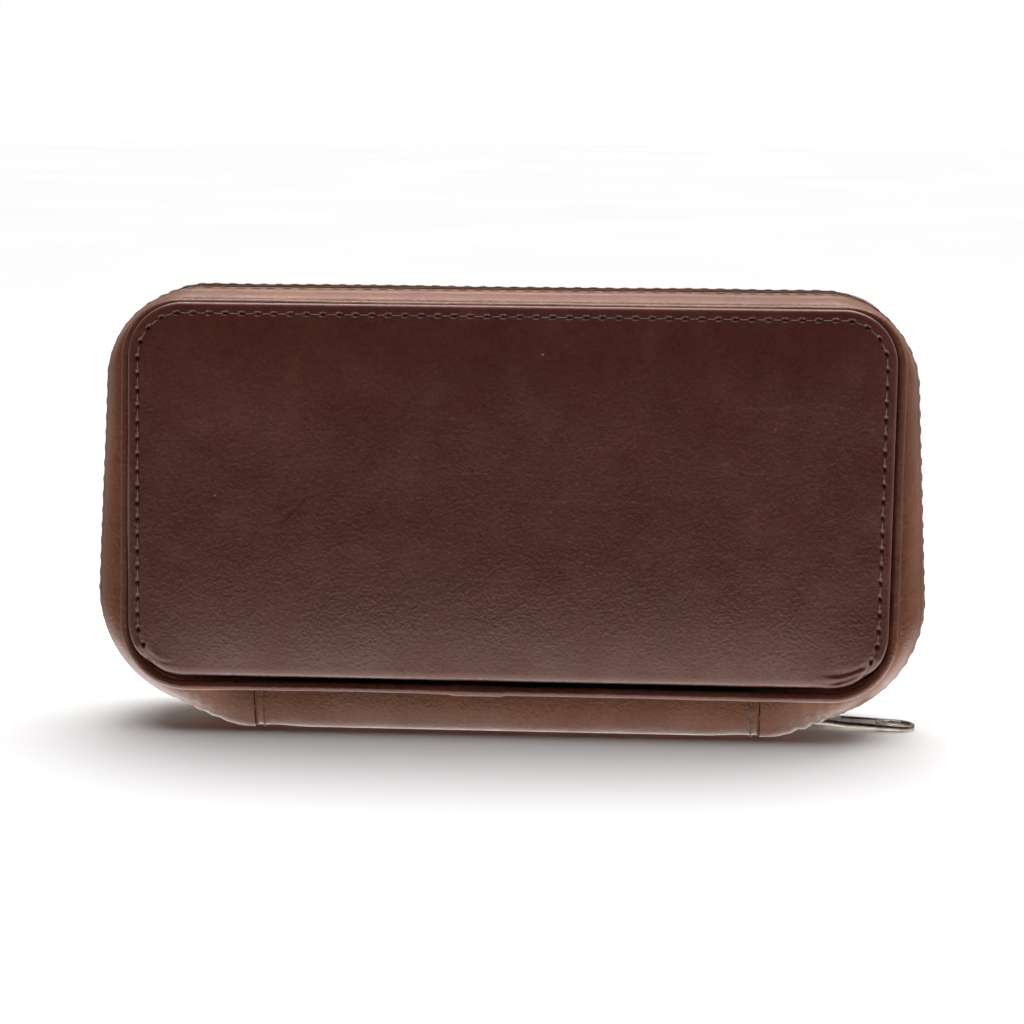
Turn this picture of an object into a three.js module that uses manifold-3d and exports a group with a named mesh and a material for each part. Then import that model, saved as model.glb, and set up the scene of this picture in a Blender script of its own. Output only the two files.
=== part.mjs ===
// A leather zip-around shaving case: two padded clamshell halves folded on a leather spine.
// Millimetres. +X along the length, -Y the front face, +Z up. The case stands on its spine at z = 0.
import * as THREE from "three";
import { mergeVertices } from "three/addons/utils/BufferGeometryUtils.js";
import Module from "manifold-3d";

// ---- driving dimensions ----
const HEM = { half: 120, topHalf: 117, low: 4.2, high: 128.4, rLow: 35, rHigh: 24 }; // gusset edge at the zip
const WELT = { half: 111.7, topHalf: 111.7, low: 14.2, high: 124.9, rLow: 18.4, rHigh: 16.4 }; // gusset root
const FACE = { half: 108.6, topHalf: 108.6, low: 16.8, high: 124.8, rLow: 16, rHigh: 15 }; // cover panel
const HEM_DEPTH = 4.8; // distance of the gusset's edge from the case's mid-plane
const WALL_DEPTH = 18.2; // distance of the gusset's root from the mid-plane
const SEAM_X = 73; // the spine runs between seams at +-SEAM_X
const SEAM_GAP = 0.3;
const LEATHER = 1.6; // gusset and spine
const COVER = 1.8; // cover panel
const COVER_EDGE_DEPTH = 24.5;
const COVER_DOME = 3.5; // padding raises the middle of the face by this much
const PIPING_R = 1.9;
const PIPING_DEPTH = 20.4;
const INNER_INSET = 3; // board, padding and lining stop this far inside the gusset's root
const BOARD_DEPTHS = [20, 21.6];
const FLOOR_DEPTHS = [18.9, 19.7];
const LINING = 0.8;
const ZIP_INSET = 2.2; // teeth lie this far inside the gusset's outer surface
const TEETH = { near: 0.9, far: 3, half: 0.8 };
const TAPE = { near: 3.3, far: 10.5, half: 0.3 };
const TEETH_PAST_SEAM = 6; // the rows of teeth start this far outside the spine's seams
const zipZ = HEM.low + ZIP_INSET; // height of the teeth along the bottom run
const FOLD_GAP = 0.15; // each half of the spine stops this far from the fold
const SPINE_FLAT = 12.5; // half-depth of the flat that the case stands on
const SLIDER = { x: 85, length: 10.6, halfWidth: 4.2, channel: 1.4, plate: 1.1, post: 0.55 };
const SLIDER_ROOM = 1.2; // free space beside the parked slider along the zip
const TOP_STOP = { size: 2.2, before: 7.6 }; // stops lie this far before the slider's middle
const BOTTOM_STOP = { length: 3.2, height: 2.4, past: 3.4 };
const BRIDGE = { halfLength: 5, halfWidth: 0.9, bar: 0.9, low: 0.5 };
const PULL = {
  length: 34,
  eyeWidth: 6.4,
  width: 8.6,
  thick: 1.5,
  tilt: 3, // degrees below the horizontal
  pivotZ: 2.6,
  start: -0.8,
  neckEnd: 8,
  shoulderEnd: 13,
  corner: 1.2,
  slot: { from: 0.8, to: 7.2, half: 1.7 },
  hole: { from: 24.7, to: 32.7, half: 2.4 },
};
const POCKET = { width: 184, height: 58, low: 20, radius: 10, thick: 1 };
const LOOPS = [
  { name: "razor_loop", x: -62, width: 22, height: 12 },
  { name: "brush_loop", x: -8, width: 36, height: 15 },
  { name: "tube_loop", x: 56, width: 40, height: 15 },
];
const LOOP = { strap: 24, low: 78, thick: 1, foot: 5 };
const CLEARANCE = 0.3; // between layers that lie on each other

const ARC_STEPS = 8;
const SIDE_STEPS = 5;
const TUBE_SIDES = 8;
const wasm = await Module();
wasm.setup();

// ---- materials ----
const finish = (color, roughness, metalness = 0) =>
  new THREE.MeshStandardMaterial({ color, roughness, metalness });
const COVER_LEATHER = finish(0x3e2220, 0.38);
const GUSSET_LEATHER = finish(0x6e4434, 0.5);
const PIPING_LEATHER = finish(0x5a342c, 0.42);
const LINING_CLOTH = finish(0x3a2d28, 0.9);
const FOAM = finish(0xd8d2c4, 0.95);
const BOARD = finish(0x8a7a64, 0.85);
const TAPE_CLOTH = finish(0x3b2a20, 0.9);
const TEETH_METAL = finish(0x7d6a48, 0.45, 1);
const SLIDER_METAL = finish(0x5a554f, 0.4, 1);
const ELASTIC = finish(0x241d1b, 0.95);

// ---- outlines ----

// One outline scaled between the piping line and the hem, for a distance from the mid-plane.
function wallSpec(depth) {
  const t = THREE.MathUtils.clamp((depth - HEM_DEPTH) / (WALL_DEPTH - HEM_DEPTH), 0, 1);
  return Object.fromEntries(
    Object.keys(HEM).map((key) => [key, THREE.MathUtils.lerp(HEM[key], WELT[key], t)]),
  );
}

function arc(points, x, z, r, from, to) {
  for (let i = 0; i <= ARC_STEPS; i++) {
    const a = THREE.MathUtils.degToRad(from + ((to - from) * i) / ARC_STEPS);
    points.push([x + r * Math.cos(a), z + r * Math.sin(a)]);
  }
}

// Steps along the straight side to the start of the next arc, so that the flared wall stays true.
function side(points, x, z) {
  const [fromX, fromZ] = points.at(-1);
  for (let i = 1; i < SIDE_STEPS; i++) {
    const t = i / SIDE_STEPS;
    points.push([THREE.MathUtils.lerp(fromX, x, t), THREE.MathUtils.lerp(fromZ, z, t)]);
  }
}

// Points [x, z] from the bottom at startX, clockwise over the left side, the top and the right side,
// back to the bottom at endX. Joined end to start they are the whole rounded outline.
function outline(spec, inset, startX = -SEAM_X, endX = SEAM_X) {
  const rLow = Math.max(1, spec.rLow - inset);
  const rHigh = Math.max(1, spec.rHigh - inset);
  const low = spec.low + inset;
  const high = spec.high - inset;
  const xLow = spec.half - inset - rLow;
  const xHigh = spec.topHalf - inset - rHigh;
  const points = [[Math.max(startX, -xLow + 0.5), low]];
  arc(points, -xLow, low + rLow, rLow, 270, 180);
  side(points, -xHigh - rHigh, high - rHigh);
  arc(points, -xHigh, high - rHigh, rHigh, 180, 90);
  arc(points, xHigh, high - rHigh, rHigh, 90, 0);
  side(points, xLow + rLow, low + rLow);
  arc(points, xLow, low + rLow, rLow, 0, -90);
  points.push([Math.min(endX, xLow - 0.5), low]);
  return points;
}

// A ring of the shell wall: depth is the distance from the mid-plane, side -1 the front, +1 the back.
const ring = (side, depth, points) => points.map(([x, z]) => new THREE.Vector3(x, side * depth, z));

// ---- closed surfaces ----

function signedVolume(points, triangles) {
  let sum = 0;
  for (let i = 0; i < triangles.length; i += 3) {
    const [a, b, c] = [0, 1, 2].map((k) => points[triangles[i + k]]);
    sum += a.dot(b.clone().cross(c)) / 6;
  }
  return sum;
}

function closedGeometry(points, triangles) {
  const faces = signedVolume(points, triangles) < 0 ? [...triangles].reverse() : triangles;
  const geometry = new THREE.BufferGeometry().setFromPoints(points);
  geometry.setIndex(faces);
  return geometry;
}

// Joins the rings of a grid into one closed surface. Each ring runs round or along the case;
// wrapRing closes every ring on itself, wrapGrid joins the last ring to the first.
function skin(grid, wrapRing, wrapGrid) {
  const rows = grid.length;
  const columns = grid[0].length;
  const at = (row, column) => (row % rows) * columns + (column % columns);
  const triangles = [];
  for (let row = 0; row < rows - (wrapGrid ? 0 : 1); row++) {
    for (let column = 0; column < columns - (wrapRing ? 0 : 1); column++) {
      const [a, b] = [at(row, column), at(row, column + 1)];
      const [c, d] = [at(row + 1, column + 1), at(row + 1, column)];
      triangles.push(a, b, c, a, c, d);
    }
  }
  const points = grid.flat();
  if (!wrapGrid) {
    for (const row of [0, rows - 1]) {
      const middle = grid[row].reduce((sum, p) => sum.add(p), new THREE.Vector3());
      const centre = points.push(middle.divideScalar(columns)) - 1;
      for (let column = 0; column < columns; column++) {
        const edge = [at(row, column), at(row, column + 1)];
        triangles.push(centre, ...(row ? edge : edge.reverse()));
      }
    }
  }
  if (!wrapRing) {
    for (const column of [0, columns - 1]) {
      const rim = grid.map((line) => new THREE.Vector2(line[column].y, line[column].z));
      for (const corners of THREE.ShapeUtils.triangulateShape(rim, [])) {
        const area = THREE.ShapeUtils.area(corners.map((corner) => rim[corner]));
        const along = area * THREE.ShapeUtils.area(rim) > 0;
        const face = corners.map((corner) => at(corner, column));
        triangles.push(...(along === (column === 0) ? face : face.reverse()));
      }
    }
  }
  return closedGeometry(points, triangles);
}

// ---- booleans ----

function solidOf(geometry) {
  const bare = geometry.clone().deleteAttribute("normal").deleteAttribute("uv");
  const merged = mergeVertices(bare);
  const mesh = { numProp: 3, vertProperties: merged.attributes.position.array };
  mesh.triVerts = new Uint32Array(merged.index.array);
  return new wasm.Manifold(new wasm.Mesh(mesh));
}

function geometryOf(solid) {
  const { vertProperties, triVerts } = solid.getMesh();
  const geometry = new THREE.BufferGeometry();
  geometry.setAttribute("position", new THREE.BufferAttribute(vertProperties, 3));
  return geometry.setIndex(new THREE.BufferAttribute(triVerts, 1));
}

const box = (size, centre) => new THREE.BoxGeometry(...size).translate(...centre);

// ---- pieces of one shell; side -1 is the front half, +1 the back ----

// A band along the gusset: section is a closed list of [depth, inset].
function band(side, section, startX, endX) {
  const grid = section.map(([depth, inset]) =>
    ring(side, depth, outline(wallSpec(depth), inset, startX, endX)),
  );
  return skin(grid, false, true);
}

function gusset(side) {
  const middle = (HEM_DEPTH + WALL_DEPTH) / 2;
  const puff = 0.8; // the leather bellies out between its two edges
  const section = [
    [WALL_DEPTH, 0],
    [middle, -puff],
    [HEM_DEPTH, 0],
    [HEM_DEPTH, LEATHER],
    [middle, LEATHER - puff],
    [WALL_DEPTH, LEATHER],
  ];
  return band(side, section, -SEAM_X - SEAM_GAP, SEAM_X + SEAM_GAP);
}

function zipTape(side) {
  const [outer, inner] = [ZIP_INSET - TAPE.half, ZIP_INSET + TAPE.half];
  const section = [
    [TAPE.far, outer],
    [HEM_DEPTH, outer],
    [TAPE.near, outer],
    [TAPE.near, inner],
    [HEM_DEPTH, inner],
    [TAPE.far, inner],
  ];
  return band(side, section, -SEAM_X - SEAM_GAP, SEAM_X + SEAM_GAP);
}

// The front tape is relieved round the parked slider, which stays with the back half.
function frontZipTape() {
  const length = SLIDER.length + 2 * SLIDER_ROOM;
  const depth = 2 * (HEM_DEPTH + 0.1);
  const height = 2 * zipZ;
  const notch = box([length, depth, height], [SLIDER.x, 0, height / 2]);
  return geometryOf(solidOf(zipTape(-1)).subtract(solidOf(notch)));
}

function zipTeeth(side, startX, endX) {
  const [outer, inner] = [ZIP_INSET - TEETH.half, ZIP_INSET + TEETH.half];
  const section = [
    [TEETH.far, outer],
    [TEETH.near, outer],
    [TEETH.near, inner],
    [TEETH.far, inner],
  ];
  return band(side, section, startX, endX);
}

// The front row starts past the parked slider, on the corner.
function frontZipTeeth() {
  const row = zipTeeth(-1, -SEAM_X - TEETH_PAST_SEAM, SEAM_X + TEETH_PAST_SEAM);
  const past = SLIDER.x + SLIDER.length / 2 + SLIDER_ROOM;
  const cut = box([past, 4 * TEETH.far, 2 * zipZ], [past / 2, 0, zipZ]);
  return geometryOf(solidOf(row).subtract(solidOf(cut)));
}

function piping(side) {
  const centre = 0.4; // the cord sits just inside the gusset's root
  const grid = Array.from({ length: TUBE_SIDES }, (_, i) => {
    const a = (2 * Math.PI * i) / TUBE_SIDES;
    const depth = PIPING_DEPTH + PIPING_R * Math.sin(a);
    return ring(side, depth, outline(WELT, centre + PIPING_R * Math.cos(a)));
  });
  return skin(grid, true, true);
}

// Rings of the domed face, from its edge to the flat middle: [inset, share of the dome].
const DOME = [
  [0, 0],
  [5, 0.38],
  [14, 0.72],
  [27, 0.93],
  [44, 1],
];

// A closed panel between a domed outer surface and an inner one.
function domed(side, spec, outerDepth, innerDepth) {
  const rings = (depthAt) =>
    DOME.map(([inset, share]) => ring(side, depthAt(share), outline(spec, inset)));
  return skin([...rings(outerDepth).reverse(), ...rings(innerDepth)], true, false);
}

const domeDepth = (edge) => (share) => edge + COVER_DOME * share;

const coverPanel = (side) =>
  domed(side, FACE, domeDepth(COVER_EDGE_DEPTH), domeDepth(COVER_EDGE_DEPTH - COVER));

const PAD = {
  half: WELT.half - INNER_INSET,
  topHalf: WELT.topHalf - INNER_INSET,
  low: WELT.low + INNER_INSET + 0.5,
  high: WELT.high - INNER_INSET,
  rLow: WELT.rLow - INNER_INSET,
  rHigh: WELT.rHigh - INNER_INSET,
};
const padding = (side) =>
  domed(side, PAD, domeDepth(COVER_EDGE_DEPTH - COVER - CLEARANCE), () => BOARD_DEPTHS[1] + CLEARANCE);

// A flat sheet across the shell, between two depths.
function sheet(side, [near, far], inset) {
  const points = outline(WELT, inset);
  return skin([ring(side, near, points), ring(side, far, points)], true, false);
}

function liningWall(side) {
  const floor = FLOOR_DEPTHS[0] - CLEARANCE;
  const rim = HEM_DEPTH + CLEARANCE;
  const behindTape = ZIP_INSET + TAPE.half + CLEARANCE;
  const outer = [
    [floor, INNER_INSET],
    [TAPE.far + 2 * CLEARANCE, INNER_INSET],
    [rim, behindTape],
  ];
  const inner = outer.map(([depth, inset]) => [depth, inset + LINING]).reverse();
  const grid = [...outer, ...inner].map(([depth, inset]) =>
    ring(side, depth, outline(wallSpec(depth), inset)),
  );
  return skin(grid, true, true);
}

// Half of the folded spine: from the piping down and under to the fold on the mid-plane.
function spineHalf(side) {
  const root = { depth: WALL_DEPTH - 0.2, height: WELT.low - 0.6 };
  const curve = (inset) => {
    const bend = new THREE.CubicBezierCurve(
      new THREE.Vector2(root.depth - inset, root.height),
      new THREE.Vector2(root.depth - inset, 4 + inset),
      new THREE.Vector2(root.depth - 3 - inset, inset),
      new THREE.Vector2(SPINE_FLAT - inset / 2, inset),
    );
    return [...bend.getPoints(ARC_STEPS), new THREE.Vector2(FOLD_GAP, inset)];
  };
  const section = [...curve(0), ...curve(LEATHER).reverse()];
  const grid = section.map(({ x: depth, y: height }) =>
    [-SEAM_X, SEAM_X].map((x) => new THREE.Vector3(x, side * depth, height)),
  );
  return skin(grid, false, true);
}

// ---- fittings on the lining ----

function pocket() {
  const { width, height, radius, thick } = POCKET;
  const shape = new THREE.Shape();
  const [w, h] = [width / 2, height / 2];
  shape.moveTo(-w, h);
  shape.lineTo(-w, -h + radius);
  shape.absarc(-w + radius, -h + radius, radius, Math.PI, 1.5 * Math.PI);
  shape.absarc(w - radius, -h + radius, radius, -Math.PI / 2, 0);
  shape.lineTo(w, h);
  const geometry = new THREE.ExtrudeGeometry(shape, { depth: thick, bevelEnabled: false });
  return geometry.rotateX(Math.PI / 2);
}

// An elastic strap sewn down at both feet, arched over the lining.
function elasticLoop({ width, height }) {
  const { strap, thick, foot } = LOOP;
  const half = width / 2;
  const shape = new THREE.Shape();
  shape.moveTo(-half - foot, 0);
  shape.lineTo(-half + thick, 0);
  shape.absellipse(0, thick, half - thick, height - 2 * thick, Math.PI, 0, true);
  shape.lineTo(half - thick, 0);
  shape.lineTo(half + foot, 0);
  shape.lineTo(half + foot, thick);
  shape.lineTo(half, thick);
  shape.absellipse(0, thick, half, height - thick, 0, Math.PI, false);
  shape.lineTo(-half - foot, thick);
  return new THREE.ExtrudeGeometry(shape, { depth: strap, bevelEnabled: false, curveSegments: 10 });
}

// ---- zip furniture ----

// Two plates over and under the teeth, joined by a post between the rows at the leading end.
function sliderBody() {
  const { length, halfWidth, channel, plate, post } = SLIDER;
  const [l, w] = [length / 2, halfWidth];
  const corner = 1.6;
  const shape = new THREE.Shape();
  shape.moveTo(-l, -w + corner / 4);
  shape.quadraticCurveTo(-l, -w, -l + corner, -w);
  shape.lineTo(l * 0.3, -w);
  shape.quadraticCurveTo(l, -w, l, -w * 0.55);
  shape.lineTo(l, w * 0.55);
  shape.quadraticCurveTo(l, w, l * 0.3, w);
  shape.lineTo(-l + corner, w);
  shape.quadraticCurveTo(-l, w, -l, w - corner / 4);
  const options = { depth: plate, bevelEnabled: false, curveSegments: 5 };
  const plateAt = (z) => solidOf(new THREE.ExtrudeGeometry(shape, options).translate(0, 0, z));
  const lower = plateAt(-channel - plate);
  const upper = plateAt(channel);
  const neck = solidOf(box([1.5 * corner, 2 * post, 2 * channel + plate], [-l + corner, 0, 0]));
  return geometryOf(lower.add(upper).add(neck));
}

// The bridge that the pull hangs on, a U under the lower plate.
function bridge() {
  const { halfLength, halfWidth, bar, low } = BRIDGE;
  const top = zipZ - SLIDER.channel - SLIDER.plate - CLEARANCE;
  const shape = new THREE.Shape();
  shape.moveTo(-halfLength, top);
  shape.lineTo(-halfLength, low + 1);
  shape.quadraticCurveTo(-halfLength, low, -halfLength + 1, low);
  shape.lineTo(halfLength - 1, low);
  shape.quadraticCurveTo(halfLength, low, halfLength, low + 1);
  shape.lineTo(halfLength, top);
  shape.lineTo(halfLength - bar, top);
  shape.lineTo(halfLength - bar, low + bar);
  shape.lineTo(-halfLength + bar, low + bar);
  shape.lineTo(-halfLength + bar, top);
  const geometry = new THREE.ExtrudeGeometry(shape, { depth: 2 * halfWidth, bevelEnabled: false });
  return geometry.translate(0, 0, -halfWidth).rotateX(Math.PI / 2);
}

// The pull tab lies along +X from its cross-bar, with a slot for the bridge and a hole in its far end.
function pullTab() {
  const { length, eyeWidth, width, thick, start, neckEnd, shoulderEnd, corner, slot, hole } = PULL;
  const [e, w] = [eyeWidth / 2, width / 2];
  const waist = (neckEnd + shoulderEnd) / 2;
  const shape = new THREE.Shape();
  shape.moveTo(start, -e + corner / 2);
  shape.quadraticCurveTo(start, -e, start + corner, -e);
  shape.lineTo(neckEnd, -e);
  shape.quadraticCurveTo(waist, -e, shoulderEnd, -w);
  shape.lineTo(length - w, -w);
  shape.absarc(length - w, 0, w, -Math.PI / 2, Math.PI / 2);
  shape.lineTo(shoulderEnd, w);
  shape.quadraticCurveTo(waist, e, neckEnd, e);
  shape.lineTo(start + corner, e);
  shape.quadraticCurveTo(start, e, start, e - corner / 2);
  const bridgeSlot = new THREE.Path();
  bridgeSlot.moveTo(slot.from, -slot.half);
  bridgeSlot.lineTo(slot.from, slot.half);
  bridgeSlot.lineTo(slot.to, slot.half);
  bridgeSlot.lineTo(slot.to, -slot.half);
  const endHole = new THREE.Path();
  endHole.absarc(hole.from + hole.half, 0, hole.half, -Math.PI / 2, -1.5 * Math.PI, true);
  endHole.absarc(hole.to - hole.half, 0, hole.half, Math.PI / 2, -Math.PI / 2, true);
  shape.holes.push(bridgeSlot, endHole);
  const options = { depth: thick, bevelEnabled: false, curveSegments: 8 };
  return new THREE.ExtrudeGeometry(shape, options).translate(0, 0, -thick / 2);
}

// ---- assembly ----

function named(name, geometry, material) {
  const mesh = new THREE.Mesh(geometry, material);
  mesh.name = name;
  return mesh;
}

function shell(prefix, side) {
  const group = new THREE.Group();
  group.add(
    named(prefix + "_cover_panel", coverPanel(side), COVER_LEATHER),
    named(prefix + "_padding", padding(side), FOAM),
    named(prefix + "_stiffener_board", sheet(side, BOARD_DEPTHS, INNER_INSET), BOARD),
    named(prefix + "_piping", piping(side), PIPING_LEATHER),
    named(prefix + "_gusset", gusset(side), GUSSET_LEATHER),
    named(prefix + "_spine_leather", spineHalf(side), GUSSET_LEATHER),
    named(prefix + "_lining_floor", sheet(side, FLOOR_DEPTHS, INNER_INSET), LINING_CLOTH),
    named(prefix + "_lining_wall", liningWall(side), LINING_CLOTH),
  );
  return group;
}

function topStop(side) {
  const size = [TOP_STOP.size, TEETH.far - TEETH.near, TOP_STOP.size];
  return box(size, [SLIDER.x - TOP_STOP.before, (side * (TEETH.near + TEETH.far)) / 2, zipZ]);
}

function bottomStop() {
  const { length, height, past } = BOTTOM_STOP;
  return box([length, 2 * TEETH.far, height], [-SEAM_X - past, 0, zipZ]);
}

const frontShell = shell("front", -1);
const slipPocket = named("front_slip_pocket", pocket(), LINING_CLOTH);
slipPocket.position.y = -FLOOR_DEPTHS[0] + CLEARANCE + POCKET.thick;
slipPocket.position.z = POCKET.low + POCKET.height / 2;
frontShell.add(
  slipPocket,
  named("front_zip_tape", frontZipTape(), TAPE_CLOTH),
  named("front_zip_teeth", frontZipTeeth(), TEETH_METAL),
  named("front_top_stop", topStop(-1), TEETH_METAL),
);

const backShell = shell("back", 1);
const backTeeth = zipTeeth(1, -SEAM_X - TEETH_PAST_SEAM, SLIDER.x - SLIDER.length / 2);
backShell.add(
  named("back_zip_tape", zipTape(1), TAPE_CLOTH),
  named("back_zip_teeth", backTeeth, TEETH_METAL),
  named("back_top_stop", topStop(1), TEETH_METAL),
  named("zip_bottom_stop", bottomStop(), TEETH_METAL),
);
for (const loop of LOOPS) {
  const mesh = named(loop.name, elasticLoop(loop), ELASTIC);
  mesh.rotation.z = Math.PI;
  mesh.position.set(loop.x, FLOOR_DEPTHS[0] - CLEARANCE, LOOP.low);
  backShell.add(mesh);
}

const slider = new THREE.Group();
slider.position.set(SLIDER.x, 0, 0);
const body = named("zip_slider_body", sliderBody(), SLIDER_METAL);
body.position.z = zipZ;
const pull = named("zip_pull_tab", pullTab(), SLIDER_METAL);
pull.position.z = PULL.pivotZ;
pull.rotation.y = THREE.MathUtils.degToRad(PULL.tilt);
slider.add(body, named("zip_slider_bridge", bridge(), SLIDER_METAL), pull);

const shavingCase = new THREE.Group();
shavingCase.add(backShell, frontShell, slider);
export default shavingCase;
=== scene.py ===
"""Looks of a leather zip-around shaving case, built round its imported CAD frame.

Sizes are in millimetres until a mesh is made, and +X runs along the case, -Y out of its front, +Z up.
Both halves share every function: side is -1 for the front half and +1 for the back half.
"""

import math

import bmesh
import bpy
import numpy as np
from mathutils import Matrix, Vector


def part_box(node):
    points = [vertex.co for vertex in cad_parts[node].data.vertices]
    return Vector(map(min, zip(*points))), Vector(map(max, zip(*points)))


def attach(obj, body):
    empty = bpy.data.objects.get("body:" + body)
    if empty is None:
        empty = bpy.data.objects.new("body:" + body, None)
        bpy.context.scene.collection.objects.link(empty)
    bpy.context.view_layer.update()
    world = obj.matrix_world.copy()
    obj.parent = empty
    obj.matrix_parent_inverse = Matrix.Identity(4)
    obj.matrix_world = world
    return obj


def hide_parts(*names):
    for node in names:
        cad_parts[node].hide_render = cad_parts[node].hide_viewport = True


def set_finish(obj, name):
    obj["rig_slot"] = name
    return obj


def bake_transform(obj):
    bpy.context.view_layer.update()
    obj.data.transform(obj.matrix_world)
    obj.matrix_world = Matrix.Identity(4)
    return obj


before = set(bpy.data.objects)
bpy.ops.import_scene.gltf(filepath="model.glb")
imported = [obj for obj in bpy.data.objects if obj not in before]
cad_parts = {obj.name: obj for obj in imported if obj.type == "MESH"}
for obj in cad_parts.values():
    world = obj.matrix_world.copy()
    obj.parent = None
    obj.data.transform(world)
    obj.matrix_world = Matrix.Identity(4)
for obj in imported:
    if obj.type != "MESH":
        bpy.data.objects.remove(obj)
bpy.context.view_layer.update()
MM = 0.001
HALVES = {"front": -1, "back": 1}


# ---- driving dimensions, from the frame where it has them ----


def spec(node, inset, top_in, r_low, r_high, lean=0.0):
    """A rounded outline in the X-Z plane: half-lengths at the bottom and top, heights and corner radii.

    lean moves it along X by this share of its height.
    """
    low, high = (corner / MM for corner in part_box(node))
    return {
        "half": high.x - inset,
        "top_half": high.x - inset - top_in,
        "low": low.z + inset,
        "high": high.z - inset,
        "r_low": r_low,
        "r_high": r_high,
        "lean": lean,
    }


PIPING_R = 1.45
PIPING_SIDES = 14
LEAN = 0.011
HEM = spec("front_gusset", 0, 3.4, 35, 28)  # the gusset's edge beside the zip
HEM["high"] -= 1.0
WELT = spec("front_piping", 1.5, 0.6, 18.4, 17, LEAN)  # the gusset's root
FACE = spec("front_cover_panel", 0, 0.5, 16, 15.6, LEAN)  # the cover panel's edge
FACE["low"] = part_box("front_stiffener_board")[0].z / MM - 0.4  # just hides the board
CORD = {**WELT, "half": WELT["half"] - 1.6, "top_half": WELT["top_half"] - 1.5, "low": WELT["low"] - 0.5,
        "high": WELT["high"] - 0.8, "r_low": 17.4, "r_high": 16}  # the piping's centre line
HEM_DEPTH = -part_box("front_gusset")[1].y / MM  # depths are distances from the mid-plane
WALL_DEPTH = -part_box("front_gusset")[0].y / MM
FACE_DEPTH = -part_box("front_cover_panel")[0].y / MM
PIPING_DEPTH = -(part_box("front_piping")[0].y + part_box("front_piping")[1].y) / 2 / MM
BOARD_DEPTH = -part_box("front_stiffener_board")[0].y / MM
FLOOR_DEPTH = -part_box("front_lining_floor")[1].y / MM
SEAM_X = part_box("front_spine_leather")[1].x / MM  # the spine leather runs between +-SEAM_X
SPINE_FLAT = 12.5
LEATHER = 1.6
DOME = 3.5  # the padding raises the middle of a face by this much
ZIP_IN = 2.2  # the teeth lie this far inside the gusset's outer surface
STITCH_PITCH = 4.6
STITCH_IN = 2.9  # the stitches run this far inside an edge


# ---- outlines ----


def arc(x, z, radius, start, end, steps):
    turn = np.radians(np.linspace(start, end, steps, endpoint=False))
    return np.c_[x + radius * np.cos(turn), z + radius * np.sin(turn)]


def run(start, end, steps):
    share = np.linspace(0, 1, steps, endpoint=False)[:, None]
    return np.array(start) + (np.array(end) - np.array(start)) * share


def steps_round(pitch):
    """Steps of an outline's corners, upright sides, and top and bottom."""
    return max(4, round(35 / pitch)), max(4, round(72 / pitch)), max(8, round(190 / pitch))


def outline(shape, inset=0.0, pitch=1.0, seam=None):
    """Points (x, z) clockwise from the bottom over the left side, the top and the right side.

    With a seam the line is open and runs from -seam to seam; without one it closes along the bottom.
    The number of points doesn't depend on the inset, so that rings join column by column.
    """
    r_low = max(0.8, shape["r_low"] - inset)
    r_high = max(0.8, shape["r_high"] - inset)
    low, high = shape["low"] + inset, shape["high"] - inset
    x_low, x_high = shape["half"] - inset - r_low, shape["top_half"] - inset - r_high
    corner, upright, top = steps_round(pitch)
    lines = [
        arc(-x_low, low + r_low, r_low, 270, 180, corner),
        run((-x_low - r_low, low + r_low), (-x_high - r_high, high - r_high), upright),
        arc(-x_high, high - r_high, r_high, 180, 90, corner),
        run((-x_high, high), (x_high, high), top),
        arc(x_high, high - r_high, r_high, 90, 0, corner),
        run((x_high + r_high, high - r_high), (x_low + r_low, low + r_low), upright),
        arc(x_low, low + r_low, r_low, 0, -90, corner),
    ]
    if seam is None:
        lines.append(run((x_low, low), (-x_low, low), top))
    else:
        steps = max(3, round(12 / pitch))
        lines.insert(0, run((-seam, low), (-x_low, low), steps))
        lines += [run((x_low, low), (seam, low), steps), [[seam, low]]]
    points = np.vstack(lines)
    points[:, 0] += shape["lean"] * (points[:, 1] - shape["low"])
    return points


def middle_line(shape, pitch):
    """Where the columns of a closed outline meet: a line along the middle, walked there and back."""
    corner, upright, top = steps_round(pitch)
    height = (shape["low"] + shape["high"]) / 2
    reach = shape["half"] - (shape["high"] - shape["low"]) / 2
    left, right = (-reach, height), (reach, height)
    ends = 2 * corner + upright
    points = np.vstack([[left] * ends, run(left, right, top), [right] * ends, run(right, left, top)])
    points[:, 0] += shape["lean"] * (height - shape["low"])
    return points


def wall_spec(depth):
    """The gusset's outline between its root and its hem."""
    share = np.clip((depth - HEM_DEPTH) / (WALL_DEPTH - HEM_DEPTH), 0, 1)
    return {key: HEM[key] + (WELT[key] - HEM[key]) * share for key in HEM}


def full_spec(depth):
    """The gusset's outer surface, which swells out steeply from its root and levels off at its hem."""
    share = np.clip((WALL_DEPTH - depth) / (WALL_DEPTH - HEM_DEPTH), 0, 1)
    swell = (1 - (1 - share) ** 2.2) ** 0.8
    return {key: WELT[key] + (HEM[key] - WELT[key]) * swell for key in HEM}


def outward(points, closed):
    """Unit normals (x, z) of a clockwise outline, away from its middle."""
    before, after = np.roll(points, 1, 0), np.roll(points, -1, 0)
    if not closed:
        before[0], after[-1] = points[0], points[-1]
    along = after - before
    normal = np.c_[-along[:, 1], along[:, 0]]
    return normal / np.linalg.norm(normal, axis=1)[:, None]


def lengths(points, closed):
    """Distance along an outline at each point, and its whole length."""
    ring = np.vstack([points, points[:1]]) if closed else points
    steps = np.r_[0, np.cumsum(np.linalg.norm(np.diff(ring, axis=0), axis=1))]
    return steps[: len(points)], steps[-1]


def smooth(value, low, high):
    share = np.clip((value - low) / (high - low), 0, 1)
    return share * share * (3 - 2 * share)


def bell(away, width):
    return np.exp(-((away / width) ** 2))


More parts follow.
